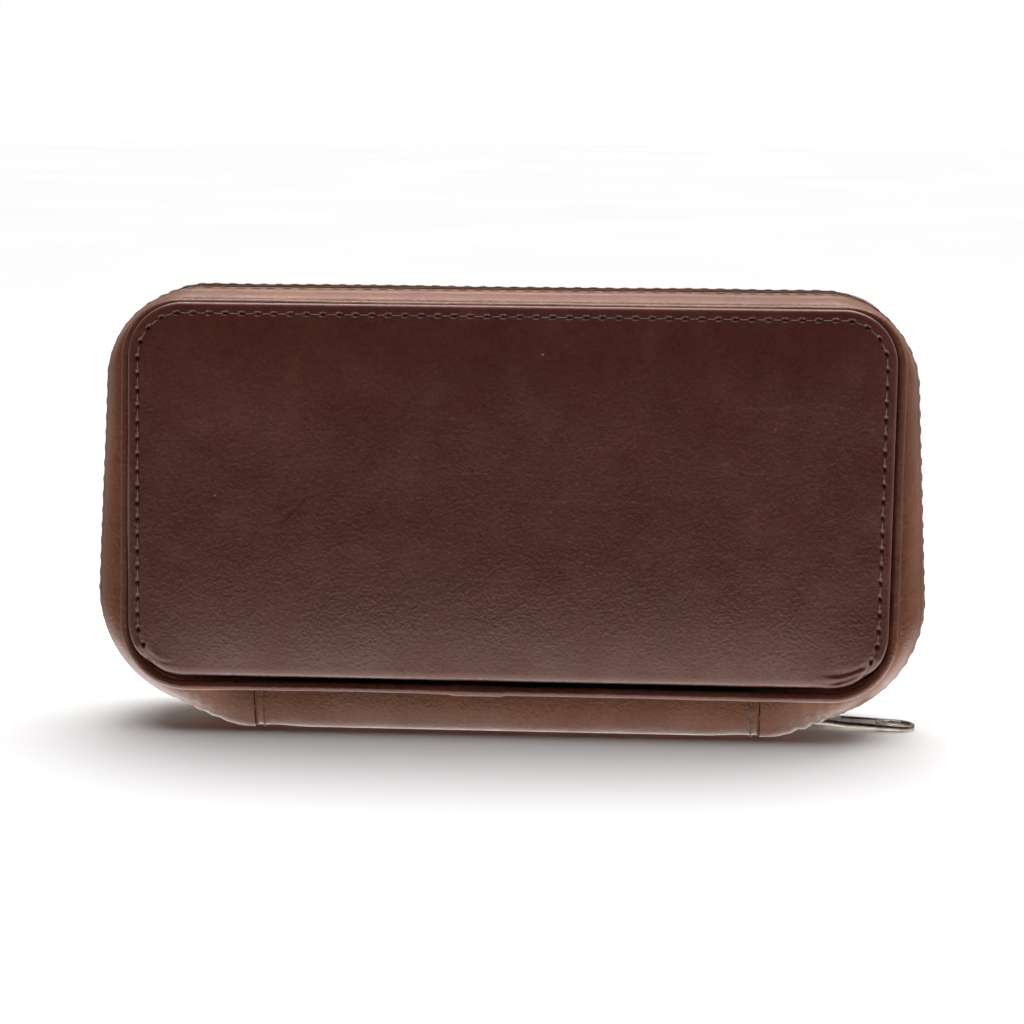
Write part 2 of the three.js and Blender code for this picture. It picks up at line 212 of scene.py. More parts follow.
def ripple(points, wavelength, seed, waves=8):
    """A smooth seeded unevenness of about +-1 over points in millimetres."""
    draw = np.random.default_rng(seed)
    total = np.zeros(points.shape[:-1])
    for _ in range(waves):
        direction = draw.normal(size=3)
        direction *= 2 * math.pi / wavelength * draw.uniform(0.5, 1.5) / np.linalg.norm(direction)
        total += np.sin(points @ direction + draw.uniform(0, 2 * math.pi))
    return total / math.sqrt(waves)


# ---- meshes ----


def mesh_object(name, points, faces, material, sharp=40.0, attributes=None):
    """A named object from points in millimetres, with welded corners, outward faces and smooth shading."""
    mesh = bpy.data.meshes.new(name)
    mesh.from_pydata((np.asarray(points, float) * MM).tolist(), [], faces)
    for key, values in (attributes or {}).items():
        mesh.attributes.new(key, "FLOAT", "POINT").data.foreach_set("value", np.asarray(values, np.float32))
    shape = bmesh.new()
    shape.from_mesh(mesh)
    bmesh.ops.remove_doubles(shape, verts=shape.verts, dist=1e-6)
    bmesh.ops.dissolve_degenerate(shape, edges=shape.edges, dist=1e-7)
    bmesh.ops.recalc_face_normals(shape, faces=shape.faces)
    shape.to_mesh(mesh)
    shape.free()
    mesh.shade_smooth()
    mesh.set_sharp_from_angle(angle=math.radians(sharp))
    mesh.materials.append(material)
    made = bpy.data.objects.new(name, mesh)
    bpy.context.scene.collection.objects.link(made)
    return made


def place(made, body, slot, *nodes):
    """Rides on one body, or stays on no body, in its baked place, when body is None."""
    if body is None:
        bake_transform(made)
    else:
        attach(made, body)
    if nodes:
        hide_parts(*nodes)
    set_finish(made, slot)
    return made


def kept_node(name, material, slot):
    """A CAD node that is shown as it is, in another material."""
    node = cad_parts[name]
    node.data.materials.clear()
    node.data.materials.append(material)
    node["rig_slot"] = slot
    return node


def soften(made, width, segments, sharper_than=30):
    """Rounds the edges that turn by more than an angle in degrees, by a width in millimetres."""
    bevel = made.modifiers.new("soft_edges", "BEVEL")
    bevel.width, bevel.segments, bevel.limit_method = width * MM, segments, "ANGLE"
    bevel.angle_limit = math.radians(sharper_than)


def grid_faces(rows, columns, wrap_rows, wrap_columns, first=0):
    faces = []
    for row in range(rows - (not wrap_rows)):
        for column in range(columns - (not wrap_columns)):
            near, far = first + row * columns, first + (row + 1) % rows * columns
            after = (column + 1) % columns
            faces.append((near + column, near + after, far + after, far + column))
    return faces


def band(name, grid, material, **options):
    """A closed band: the rows are a closed section, the columns run along it, with flat ends."""
    rows, columns = grid.shape[:2]
    faces = grid_faces(rows, columns, True, False)
    for end in (0, columns - 1):
        faces.append(tuple(row * columns + end for row in range(rows)))
    return mesh_object(name, grid.reshape(-1, 3), faces, material, **options)


def shell_points(side, outline_points, depth):
    """Outline points (x, z) at a depth from the mid-plane on one side."""
    depth = np.broadcast_to(depth, len(outline_points))
    return np.c_[outline_points[:, 0], side * depth, outline_points[:, 1]]


def domed(name, side, shape, outer, inner, material, pitch, **options):
    """A closed pad between two stacks of rings that close on the shape's middle line.

    outer and inner list (inset, depth function of (x, z)); each stack ends in its middle line.
    """

    def stack(rings):
        layers = []
        for inset, depth in rings:
            points = outline(shape, inset, pitch)
            layers.append(shell_points(side, points, depth(points[:, 0], points[:, 1])))
        last = outline(shape, rings[-1][0], pitch)
        for share in (0.4, 0.75, 1.0):
            points = last + (middle_line(shape, pitch) - last) * share
            layers.append(shell_points(side, points, rings[-1][1](points[:, 0], points[:, 1])))
        return layers

    grid = np.array(stack(outer)[::-1] + stack(inner))
    faces = grid_faces(grid.shape[0], grid.shape[1], False, True)
    return mesh_object(name, grid.reshape(-1, 3), faces, material, **options)


def tubes(name, lines, radius, material, sides=6):
    """Many short round threads as one mesh; each line is a list of points in millimetres."""
    points, faces = [], []
    for line in lines:
        line = np.asarray(line, float)
        along = np.gradient(line, axis=0)
        along /= np.linalg.norm(along, axis=1)[:, None]
        across = np.cross(along, (0.31, 0.22, 0.92))
        across /= np.linalg.norm(across, axis=1)[:, None]
        up = np.cross(across, along)
        thick = radius * np.sqrt(np.clip(1 - np.linspace(-0.97, 0.97, len(line)) ** 6, 0.02, 1))
        first = len(points)
        for step in range(sides):
            turn = 2 * math.pi * step / sides
            ring = line + (across * math.cos(turn) + up * math.sin(turn)) * thick[:, None]
            points.extend(ring)
        count = len(line)
        faces += grid_faces(sides, count, True, False, first)
        for end in (0, count - 1):
            faces.append(tuple(first + step * count + end for step in range(sides)))
    return mesh_object(name, points, faces, material, sharp=60)


# ---- materials ----


class Finish:
    """A node material: uniform values sit on the shader, patterns are nodes linked to it."""

    def __init__(self, name, **values):
        self.material = bpy.data.materials.new(name)
        self.material.use_nodes = True
        self.nodes = self.material.node_tree.nodes
        self.shader = self.nodes["Principled BSDF"]
        for key, value in values.items():
            self.shader.inputs[key.replace("_", " ")].default_value = value
        self.place = self.nodes.new("ShaderNodeTexCoord").outputs["Object"]
        self.height = None

    def link(self, output, target):
        self.material.node_tree.links.new(output, target)

    def node(self, kind, settings=None, **inputs):
        made = self.nodes.new("ShaderNode" + kind)
        for key, value in (settings or {}).items():
            setattr(made, key, value)
        for key, value in inputs.items():
            socket = made.inputs[key.replace("_", " ")]
            if isinstance(value, bpy.types.NodeSocket):
                self.link(value, socket)
            else:
                socket.default_value = value
        return made

    def stretched(self, scale, turn=(0, 0, 0)):
        """Object coordinates turned, then scaled to features per metre along each axis."""
        radians = [math.radians(angle) for angle in turn]
        return self.node("Mapping", Vector=self.place, Scale=scale, Rotation=radians).outputs[0]

    def noise(self, scale, detail=3.0, roughness=0.55, distortion=0.0, vector=None):
        return self.node(
            "TexNoise", Vector=vector or self.place, Scale=scale, Detail=detail,
            Roughness=roughness, Distortion=distortion,
        ).outputs[0]

    def cells(self, scale, feature="F1", vector=None):
        made = self.node("TexVoronoi", {"feature": feature}, Vector=vector or self.place, Scale=scale)
        return made.outputs[0]

    def bands(self, scale, direction, distortion=0.0, profile="SIN"):
        settings = {"bands_direction": direction, "wave_profile": profile}
        return self.node(
            "TexWave", settings, Vector=self.place, Scale=scale, Distortion=distortion, Detail=1.0
        ).outputs[1]

    def attribute(self, name):
        return self.node("Attribute", {"attribute_name": name}).outputs["Fac"]

    def ramp(self, factor, *stops):
        made = self.node("ValToRGB", Fac=factor)
        points = made.color_ramp.elements
        while len(points) < len(stops):
            points.new(0.5)
        for point, (position, value) in zip(points, stops):
            point.position = position
            point.color = (*value, 1) if isinstance(value, tuple) else (value, value, value, 1)
        return made.outputs[0]

    def range(self, value, low, high, to_low, to_high):
        made = self.node("MapRange", Value=value, From_Min=low, From_Max=high, To_Min=to_low, To_Max=to_high)
        return made.outputs[0]

    def mix(self, factor, first, second, kind="MIX"):
        made = self.node("MixRGB", {"blend_type": kind})
        for socket, value in zip(made.inputs, (factor, first, second)):
            if isinstance(value, bpy.types.NodeSocket):
                self.link(value, socket)
            elif isinstance(value, tuple):
                socket.default_value = (*value, 1)
            else:
                socket.default_value = value
        return made.outputs[0]

    def color(self, output):
        self.link(output, self.shader.inputs["Base Color"])

    def rough(self, output):
        self.link(output, self.shader.inputs["Roughness"])

    def bump(self, height, distance, strength=1.0):
        """Adds a relief of this depth in metres over the bumps so far."""
        made = self.node("Bump", Height=height, Distance=distance, Strength=strength)
        if self.height:
            self.link(self.height, made.inputs["Normal"])
        self.height = made.outputs[0]
        self.link(self.height, self.shader.inputs["Normal"])


def leather(name, dark, mid, light, worn, roughness, grain=0.00012, gloss=0.3):
    """Waxed leather: mottled colour, pebble grain, long faint scratches, pale specks and painted shade in
    needle holes.
    """
    finish = Finish(name, Specular_IOR_Level=gloss, Specular_Tint=(1.0, 0.76, 0.66, 1.0))
    clouds = finish.noise(26, 5, 0.6, 0.5)
    color = finish.ramp(clouds, (0.3, dark), (0.52, mid), (0.72, light))
    blotches = finish.range(finish.noise(95, 4, 0.65), 0.5, 0.75, 0.0, 0.22)
    color = finish.mix(blotches, color, worn)
    fine = finish.range(finish.noise(900, 2, 0.5), 0.35, 0.7, 0.84, 1.14)
    color = finish.mix(1.0, color, fine, "MULTIPLY")
    streaks = finish.noise(1.0, 3, 0.6, 0.3, finish.stretched((14, 30, 260), (0, 38, 0)))
    streaks = finish.ramp(streaks, (0.66, 0.0), (0.69, 0.22), (0.71, 0.0))
    color = finish.mix(streaks, color, worn)
    specks = finish.ramp(finish.cells(150), (0.035, 1.0), (0.07, 0.0))
    specks = finish.mix(1.0, specks, finish.ramp(finish.noise(60, 1), (0.6, 0.0), (0.68, 0.7)), "MULTIPLY")
    color = finish.mix(specks, color, tuple(min(1.0, 2.4 * part + 0.05) for part in worn))
    # Painted shade: near-black colour where the needle holes sink in.
    painted_hole_shade = finish.attribute("hole")
    color = finish.mix(finish.range(painted_hole_shade, 0.0, 0.8, 0.0, 0.94), color, (0.006, 0.004, 0.003))
    # Edges lighten towards the worn colour: partly real wear of burnished cut edges, partly a painted
    # highlight along rounded edges.
    edge = finish.attribute("edge")
    finish.color(finish.mix(finish.range(edge, 0.0, 1.0, 0.0, 0.75), color, worn))
    finish.rough(finish.range(finish.noise(70, 4, 0.6), 0.3, 0.75, roughness - 0.07, roughness + 0.12))
    pebbles = finish.cells(1150, "SMOOTH_F1")
    finish.bump(pebbles, grain)
    finish.bump(finish.noise(420, 4, 0.6, 0.4), grain * 1.6, 0.7)
    finish.bump(finish.noise(60, 3, 0.5), 0.0005, 0.3)
    return finish.material


def cloth(name, color, lighter, threads, sheen=0.25):
    """A plain weave with this many threads to the metre."""
    finish = Finish(name, Roughness=0.86, Sheen_Weight=sheen, Sheen_Roughness=0.5, Specular_IOR_Level=0.25)
    wave = threads / 2 / math.pi * 0.62
    warp, weft = finish.bands(wave, "X", 0.4), finish.bands(wave, "Z", 0.4)
    depth = finish.bands(wave, "Y", 0.4)
    weave = finish.mix(0.5, finish.mix(1.0, warp, weft, "DIFFERENCE"), depth)
    shade = finish.mix(finish.range(finish.noise(220, 3), 0.35, 0.7, 0.0, 0.5), color, lighter)
    finish.color(finish.mix(finish.range(weave, 0.0, 1.0, 0.0, 0.4), shade, lighter))
    finish.bump(weave, 0.00025, 0.8)
    finish.bump(finish.noise(90, 3), 0.0006, 0.4)
    return finish.material


def ribbed(name, color, lighter, direction, pitch):
    """Elastic webbing with ribs across one axis, this far apart in millimetres."""
    finish = Finish(name, Roughness=0.9, Sheen_Weight=0.3, Specular_IOR_Level=0.2)
    ribs = finish.bands(0.31 / (pitch * MM), direction, 0.2)
    finish.color(finish.mix(ribs, color, lighter))
    finish.bump(ribs, 0.0004)
    finish.bump(finish.noise(1600, 2), 0.0001)
    return finish.material


def metal(name, dark, light, roughness, scale=240):
    """Cast zinc with a tumbled, partly worn plating."""
    finish = Finish(name, Metallic=1.0)
    worn = finish.noise(scale, 5, 0.65)
    finish.color(finish.ramp(worn, (0.35, dark), (0.68, light)))
    finish.rough(finish.range(finish.noise(scale * 2.3, 4), 0.3, 0.7, roughness - 0.1, roughness + 0.15))
    finish.bump(finish.noise(scale * 5, 3), 0.00006)
    return finish.material


def threads(name, color, lighter):
    """Waxed twisted thread."""
    finish = Finish(name, Roughness=0.6, Sheen_Weight=0.2)
    finish.color(finish.mix(finish.noise(2400, 2), color, lighter))
    finish.bump(finish.cells(3200), 0.00008)
    return finish.material


def foam_finish():
    finish = Finish("open_cell_foam", Roughness=0.96)
    pores = finish.cells(1500)
    finish.color(finish.mix(finish.range(pores, 0, 0.7, 0, 1), (0.42, 0.38, 0.30), (0.70, 0.66, 0.57)))
    finish.bump(pores, 0.0003)
    return finish.material


def fibre_board():
    finish = Finish("pressed_fibre_board", Roughness=0.8)
    fibres = finish.noise(1.0, 5, 0.7, 0.6, finish.stretched((900, 900, 160)))
    finish.color(finish.mix(fibres, (0.20, 0.135, 0.08), (0.40, 0.30, 0.20)))
    finish.bump(fibres, 0.0002)
    return finish.material


COVER = leather(
    "cover_leather", (0.078, 0.0195, 0.0160), (0.090, 0.0230, 0.0180), (0.105, 0.0285, 0.0215),
    (0.180, 0.066, 0.048), 0.32, 0.00007, 0.50,
)
GUSSET = leather(
    "gusset_leather", (0.135, 0.040, 0.015), (0.175, 0.054, 0.021), (0.220, 0.074, 0.032),
    (0.32, 0.135, 0.075), 0.38, 0.00010, 0.42,
)
PIPING = leather(
    "piping_leather", (0.105, 0.030, 0.018), (0.140, 0.042, 0.025), (0.175, 0.056, 0.035),
    (0.28, 0.115, 0.078), 0.30, 0.00008, 0.50,
)
RAW_EDGE = leather(
    "cut_edge_leather", (0.22, 0.082, 0.035), (0.30, 0.115, 0.050), (0.36, 0.155, 0.075),
    (0.42, 0.20, 0.11), 0.62, 0.00022,
)
LINING = cloth("lining_cloth", (0.034, 0.022, 0.017), (0.062, 0.043, 0.034), 1900)
TAPE = ribbed("zip_tape_cloth", (0.040, 0.034, 0.016), (0.090, 0.078, 0.040), "Y", 0.55)
ELASTIC = ribbed("elastic_webbing", (0.014, 0.011, 0.010), (0.045, 0.036, 0.031), "Z", 0.9)
BRASS = metal("zip_teeth_metal", (0.14, 0.10, 0.05), (0.42, 0.33, 0.19), 0.36, 700)
GUNMETAL = metal("gunmetal", (0.13, 0.100, 0.085), (0.30, 0.255, 0.22), 0.30)
# A lighter copy of the gunmetal for the pull's sunk panel: a painted highlight.
SUNK_METAL_HIGHLIGHT = metal("sunk_metal_painted_highlight", (0.30, 0.265, 0.24), (0.46, 0.41, 0.37), 0.42)
THREAD = threads("tan_thread", (0.16, 0.070, 0.050), (0.40, 0.235, 0.18))
FOAM = foam_finish()
BOARD = fibre_board()


# ---- cover panels ----

ROLL_RADIUS = 2.9  # the lower edge rolls under the padding
ROLL_RUN = 1.5  # flat stretch under the case before the roll
ROLL_SETTLED = 18.0  # from this ring inwards the rings lie as on the rest of the face
EDGE_ROUNDING = 0.75
PANEL_THICK = 1.0
STITCH_SHIFT = 0.9  # the stitches run this much nearer the edge where the panel rolls under
PANEL_RINGS = [
    0, 0.15, 0.35, 0.6, 0.95, 1.35, 1.7, 2.0, 2.3, 2.6, 2.9, 3.2, 3.5, 3.8, 4.2, 4.6, 5.0, 5.4,
    5.8, 6.2, 6.6, 7.0, 7.5, 8.2, 9, 11, 13.5, 17, 21, 26, 32, 39, 46,
]


def dome(x, z):
    """Height of the padded face over its edge."""
    across = np.clip(np.abs(x) / FACE["half"], 0, 1)
    middle = (FACE["low"] + FACE["high"]) / 2
    up = np.clip((z - middle) / (FACE["high"] - middle), 0, 1)
    down = np.clip((middle - z) / (middle - FACE["low"]), 0, 1)
    return DOME * (1 - across**9) * (1 - up**5) * (1 - down**3.4)


CREASES = [  # from (x, z) at the lower corners, with depth and width
    ((102.5, 24.2), (89.5, 21.6), 0.42, 0.6),
    ((101.0, 21.8), (87.5, 18.9), 0.36, 0.55),
    ((96.0, 19.6), (84.0, 17.9), 0.16, 0.5),
    ((-103.0, 24.0), (-94.0, 21.0), 0.18, 0.6),
]


def creases(x, z):
    """Dents where the face buckles as it rolls under at its corners."""
    total = np.zeros_like(x)
    for (x0, z0), (x1, z1), deep, wide in CREASES:
        along = np.array([x1 - x0, z1 - z0])
        reach = np.hypot(*along)
        along = along / reach
        share = ((x - x0) * along[0] + (z - z0) * along[1]) / reach
        bow = 1.2 * np.sin(math.pi * np.clip(share, 0, 1))
        away = (x - x0) * -along[1] + (z - z0) * along[0] - bow * math.copysign(1, x0)
        fade = smooth(share, -0.05, 0.12) * (1 - smooth(share, 0.55, 1.05))
        total += deep * fade * (bell(away, wide) - 0.45 * bell(away - 2 * wide, wide))
    return total


def stitch_holes(distance, whole, pitch=STITCH_PITCH):
    """Distance to the nearest needle hole along a line of stitches."""
    fitted = whole / round(whole / pitch)
    return np.abs((distance + fitted / 2) % fitted - fitted / 2), fitted


def rolled_share(normal):
    """1 along the bottom, where the panel rolls under, and 0 at its sides and top."""
    return smooth(-normal[:, 1], 0.45, 0.96)


def panel_profile(normal, ring):
    """Inset and depth over the edge of one ring of the cover panel, rolled under along the bottom."""
    under = rolled_share(normal)
    end = ROLL_RUN + ROLL_RADIUS * math.pi / 2
    turn = np.clip((ring - ROLL_RUN) / ROLL_RADIUS, 0, math.pi / 2)
    rolled_in = ROLL_RADIUS * (1 - math.cos(turn))
    if ring > end:
        rolled_in += (ring - end) * (ROLL_SETTLED - ROLL_RADIUS) / (ROLL_SETTLED - end)
    if ring > ROLL_SETTLED:
        rolled_in = max(rolled_in, ring)
    rolled_depth = min(ring, ROLL_RUN) - ROLL_RUN + ROLL_RADIUS * (math.sin(turn) - 1)
    flat_depth = -EDGE_ROUNDING * (1 - math.sqrt(1 - (1 - min(ring / EDGE_ROUNDING, 1)) ** 2))
    return ring * (1 - under) + rolled_in * under, flat_depth * (1 - under) + rolled_depth * under, under


def cover_panel(prefix, side):
    pitch = 0.55
    edge = outline(FACE, 0, pitch)
    normal = outward(edge, True)
    stitch_line = outline(FACE, STITCH_IN, pitch)
    distance, whole = lengths(stitch_line, True)
    hole_gap, fitted = stitch_holes(distance, whole)
    layers, painted_hole_shade, edges = [], [], []
    edge_depth = FACE_DEPTH - DOME

    def outer_ring(ring):
        """Points of one ring, its depth over the edge, and the share by which it is rolled under."""
        inset, lift, under = panel_profile(normal, ring)
        if ring == 0:
            return edge, lift, under
        share = np.clip(inset / ring, 0, None)[:, None]
        return edge + (outline(FACE, ring, pitch) - edge) * share, lift, under

    def depth_at(points, lift, ring):
        x, z = points[:, 0], points[:, 1]
        depth = edge_depth + lift + dome(x, z)
        flat = np.c_[x, np.zeros_like(x), z]
        depth = depth + 0.10 * ripple(flat, 70, 11 + side) * smooth(np.array(ring), 3, 14)
        return depth - creases(side * -x, z) * smooth(np.array(ring), 1.2, 3.0)

    for ring in PANEL_RINGS:
        points, lift, under = outer_ring(ring)
        depth = depth_at(points, lift, ring)
        line = STITCH_IN - STITCH_SHIFT * under
        groove = bell(ring - line, 0.75)
        away = ((ring - line) / 0.44) ** 2 + (hole_gap / 0.72) ** 2
        visible = 1 - smooth(under, 0.45, 0.85)  # the stitches run out where the panel rolls under
        groove, hole = groove * visible, np.exp(-away) * visible
        pushed_up = 0.10 * visible * np.exp(-3 * (np.sqrt(away) - 1.9) ** 2)  # round each needle hole
        depth = depth - 0.16 * groove - 0.75 * hole + pushed_up
        layers.append(shell_points(side, points, depth))
        # The hole attribute paints shade into the needle holes.
        painted_hole_shade.append(np.clip(hole * 1.25, 0, 1))
        # The rim is lightened: a worn, burnished cut edge and a painted highlight on its rounded edge.
        edges.append(np.full(len(points), bell(ring, 0.7)))
    last = points
    centre = middle_line(FACE, pitch)
    for share in (0.35, 0.7, 1.0):
        points = last + (centre - last) * share
        layers.append(shell_points(side, points, depth_at(points, 0.0, 60)))
        painted_hole_shade.append(np.zeros(len(points)))
        edges.append(np.zeros(len(points)))
    inner = []
    for ring in (0, 3.5, 8, 20, 46):
        points, lift, under = outer_ring(max(ring, 0.01))
        inward = points + (centre - points) / 60 * under[:, None] * PANEL_THICK * 1.1
        depth = depth_at(points, lift, ring) - PANEL_THICK * (1 - 0.6 * under * (ring < 3))
        inner.append(shell_points(side, inward, depth))
    for share in (0.5, 1.0):
        points = last + (centre - last) * share
        inner.append(shell_points(side, points, depth_at(points, 0.0, 60) - PANEL_THICK))
    grid = np.array(layers[::-1] + inner)
    blank = np.zeros((len(inner), len(edge)))
    attributes = {
        "hole": np.vstack([np.array(painted_hole_shade[::-1]), blank]).ravel(),
        "edge": np.vstack([np.array(edges[::-1]), blank + 0.6]).ravel(),
    }
    faces = grid_faces(grid.shape[0], grid.shape[1], False, True)
    name = prefix + "_cover_leather"
    made = mesh_object(name, grid.reshape(-1, 3), faces, COVER, sharp=70, attributes=attributes)
    place(made, prefix + "_shell", "cover_leather", prefix + "_cover_panel")

    # Threads lie in the groove between neighbouring needle holes.
    surface = np.array(layers)
    count = round(whole / fitted)
    lines = []
    for stitch in range(count):
        at = (stitch + np.linspace(0.14, 0.86, 7)) * fitted
        columns = np.searchsorted(distance, at) % len(edge)
        under = rolled_share(normal[columns])
        if under.max() > 0.75:
            continue
        rows = np.interp(STITCH_IN - STITCH_SHIFT * under, PANEL_RINGS, range(len(PANEL_RINGS)))
        low, share = rows.astype(int), (rows % 1)[:, None]
        points = surface[low, columns] * (1 - share) + surface[low + 1, columns] * share
        lift = 0.20 * np.sin(np.linspace(0, math.pi, 7)) - 0.16
        points[:, 1] += side * lift
        lines.append(points)
    stitches = tubes(prefix + "_cover_stitching", lines, 0.12, THREAD)
    place(stitches, prefix + "_shell", "thread")


for prefix, side in HALVES.items():
    cover_panel(prefix, side)


# ---- padding, boards and piping ----

PAD = {**WELT, "half": WELT["half"] - 3, "top_half": WELT["top_half"] - 3, "low": WELT["low"] + 6.2,
       "high": WELT["high"] - 3, "r_low": 15, "r_high": 13.4}


def padding(prefix, side):
    """A foam pad, flat on the board and crowned under the leather."""
    edge_depth = FACE_DEPTH - DOME - 2.0
    base = BOARD_DEPTH + 0.35

    def crown(inset):
        swell = 1 - (1 - min(inset / 6, 1)) ** 2.4
        return lambda x, z: base + (edge_depth - base + dome(x, z) * 0.96) * swell

    outer = [(inset, crown(inset)) for inset in (0, 0.3, 0.8, 1.6, 3, 5, 8, 12, 18, 26, 36, 44)]
    inner = [(inset, lambda x, z: BOARD_DEPTH + 0.3 + 0 * x) for inset in (0.2, 6, 20, 44)]
    made = domed(prefix + "_foam_pad", side, PAD, outer, inner, FOAM, 2.4)
    place(made, prefix + "_shell", "foam", prefix + "_padding")


def piping(prefix, side):
    """A cord wrapped in leather, with the wrapped ends overlapped at the bottom."""
    points = outline(CORD, 0, 0.8)
    normal = outward(points, True)
    spots = shell_points(side, points, PIPING_DEPTH)
    at_bottom = points[:, 1] < WELT["low"] + 2
    lap = at_bottom * smooth(points[:, 0] * -side, -17, -14) * (1 - smooth(points[:, 0] * -side, -1.0, -0.2))
    radius = PIPING_R * (0.98 + 0.025 * ripple(spots, 16, 21 + side) + 0.26 * lap)
    wander = 0.14 * ripple(spots, 60, 25 + side)
    grid = []
    for turn in np.arange(PIPING_SIDES) * 2 * math.pi / PIPING_SIDES:
        across = (radius * math.cos(turn) + wander)[:, None]
        grid.append(shell_points(side, points + normal * across, PIPING_DEPTH + radius * math.sin(turn)))
    grid = np.array(grid)
    faces = grid_faces(PIPING_SIDES, len(points), True, True)
    made = mesh_object(prefix + "_leather_piping", grid.reshape(-1, 3), faces, PIPING, sharp=80)
    place(made, prefix + "_shell", "piping_leather", prefix + "_piping")


# ---- gusset ----

TURNED_HEM = 6.2  # the gusset's edge is folded in by this much
HEM_STITCH = 2.6  # the hem's stitches lie this far from its edge
HEM_FOLD_R = 0.75
GUSSET_END = SEAM_X + 0.3


def gusset_depths():
    """Depths of the gusset's outer rows from root to hem, closer together along the hem."""
    turned = HEM_DEPTH + TURNED_HEM
    return np.r_[np.linspace(WALL_DEPTH, turned + 1, 13), np.linspace(turned, HEM_DEPTH + 0.3, 22)]


FOLDS = [  # folds of the gusset beside the spine: distance from the seam at the root and the hem, depth
    (5.5, 13.0, 0.5), (8.5, 18.0, 0.8), (11.5, 23.0, 0.7), (15.0, 29.0, 0.4),
]


def lowered(points, depth):
    """Heights and depths that bring the gusset's ends down to the spine's section, to meet it at the seam."""
    near_seam = (points[:, 1] < WELT["low"] + 8) * (1 - smooth(np.abs(points[:, 0]), SEAM_X + 1, SEAM_X + 25))
    section = spine_curve(0)
    along, whole = lengths(section, False)
    share = (WALL_DEPTH - depth) / WALL_DEPTH
    spine_depth, height = [np.interp(share * whole, along, section[:, axis]) for axis in (0, 1)]
    height = points[:, 1] * (1 - near_seam) + max(height, 0.25) * near_seam
    return height, depth * (1 - near_seam) + spine_depth * near_seam


def corner_swell(height):
    """How far the gusset bulges round its lower corners."""
    return 0.1 * smooth(height, 4, 24) * (1 - smooth(height, 24, 62))


def gusset_relief(side, points, depth, distance, whole, hole_gap):
    """How far the gusset stands out at one depth: belly, turned hem, stitch groove, folds and ripples."""
    from_hem = depth - HEM_DEPTH
    share = from_hem / (WALL_DEPTH - HEM_DEPTH)
    total = corner_swell(points[:, 1]) * (1 - share) ** 0.5 - 0.9 * bell(share - 1, 0.07)
    total = total + 0.30 * (1 - smooth(np.array(from_hem), TURNED_HEM - 0.7, TURNED_HEM + 0.5))
    hole = bell(from_hem - HEM_STITCH, 0.4) * bell(hole_gap, 0.7)
    total = total - 0.10 * bell(from_hem - HEM_STITCH, 0.7) - 0.22 * hole
    spots = shell_points(side, points, depth)
    middle = math.sin(math.pi * min(1, max(0, share)))
    total = total + (0.10 * ripple(spots, 48, 31 + side) + 0.025 * ripple(spots, 13, 35 + side)) * middle
    for from_seam, strength in ((whole - distance, 1.0), (distance, 0.45)):
        for at_root, at_hem, deep in FOLDS:
            line = at_hem + (at_root - at_hem) * share
            valley = bell(from_seam - line, 1.0)
            ridge = bell(from_seam - line + 1.9, 1.2)
            total = total + strength * deep * middle**0.7 * (0.4 * ridge - valley)
    return total, hole


def gusset(prefix, side):
    pitch = 0.8
    hem_line = outline(full_spec(HEM_DEPTH + HEM_STITCH), 0, pitch, GUSSET_END)
    distance, whole = lengths(hem_line, False)
    hole_gap, fitted = stitch_holes(distance, whole)
    rows, painted_hole_shade, edges = [], [], []

    def add_row(points, depth, push, hole, edge):
        """A gusset row moved outwards by push, with painted hole shade and its share of worn edge and painted
        highlight.
        """
        height, deep = lowered(points, depth)
        moved = np.c_[points[:, 0], height] + outward(points, False) * push[:, None]
        rows.append(shell_points(side, np.c_[moved[:, 0], np.maximum(moved[:, 1], 0.2)], deep))
        painted_hole_shade.append(hole)
        edges.append(np.full(len(points), edge))

    for depth in gusset_depths():
        points = outline(full_spec(depth), 0, pitch, GUSSET_END)
        relief, hole = gusset_relief(side, points, depth, distance, whole, hole_gap)
        # Needle holes carry painted shade; rows near the hem are lightened, partly worn edge and partly
        # painted highlight.
        add_row(points, depth, relief, np.clip(hole * 1.2, 0, 1), 0.55 * bell(depth - HEM_DEPTH, 0.9))
    surface = np.array(rows)
    none = np.zeros(len(distance))
    for turn in np.linspace(0, math.pi, 5):  # the folded hem
        points = outline(full_spec(HEM_DEPTH), 0, pitch, GUSSET_END)
        inset = HEM_FOLD_R * (1 - math.cos(turn)) - 0.25
        depth = HEM_DEPTH + HEM_FOLD_R * (1 - math.sin(turn))
        # The folded hem gets the same lightening: worn edge and painted highlight.
        add_row(points, depth, corner_swell(points[:, 1]) - inset, none, 0.6)
    for depth in (HEM_DEPTH + 2, HEM_DEPTH + 7, WALL_DEPTH):  # the inside
        add_row(outline(full_spec(depth), 0, pitch, GUSSET_END), depth, none - LEATHER, none, 0.0)
    attributes = {"hole": np.array(painted_hole_shade).ravel(), "edge": np.array(edges).ravel()}
    made = band(prefix + "_leather_gusset", np.array(rows), GUSSET, sharp=70, attributes=attributes)
    place(made, prefix + "_shell", "gusset_leather", prefix + "_gusset")

    row = int(np.argmin(np.abs(gusset_depths() - HEM_DEPTH - HEM_STITCH)))
    lines = []
    for stitch in range(round(whole / fitted) - 1):
        at = (stitch + np.linspace(0.16, 0.84, 6)) * fitted
        columns = np.searchsorted(distance, at)
        points = surface[row, columns].copy()
        normal = outward(outline(HEM, 0, pitch, GUSSET_END), False)[columns]
        lift = 0.12 * np.sin(np.linspace(0, math.pi, 6)) + 0.02
        points[:, 0] += normal[:, 0] * lift
        points[:, 2] += normal[:, 1] * lift
        lines.append(points)
    place(tubes(prefix + "_hem_stitching", lines, 0.21, THREAD), prefix + "_shell", "thread")


# ---- spine ----

SPINE_STITCH = 2.3  # the spine's stitches run this far inside its seams
SPINE_PITCH = 4.4


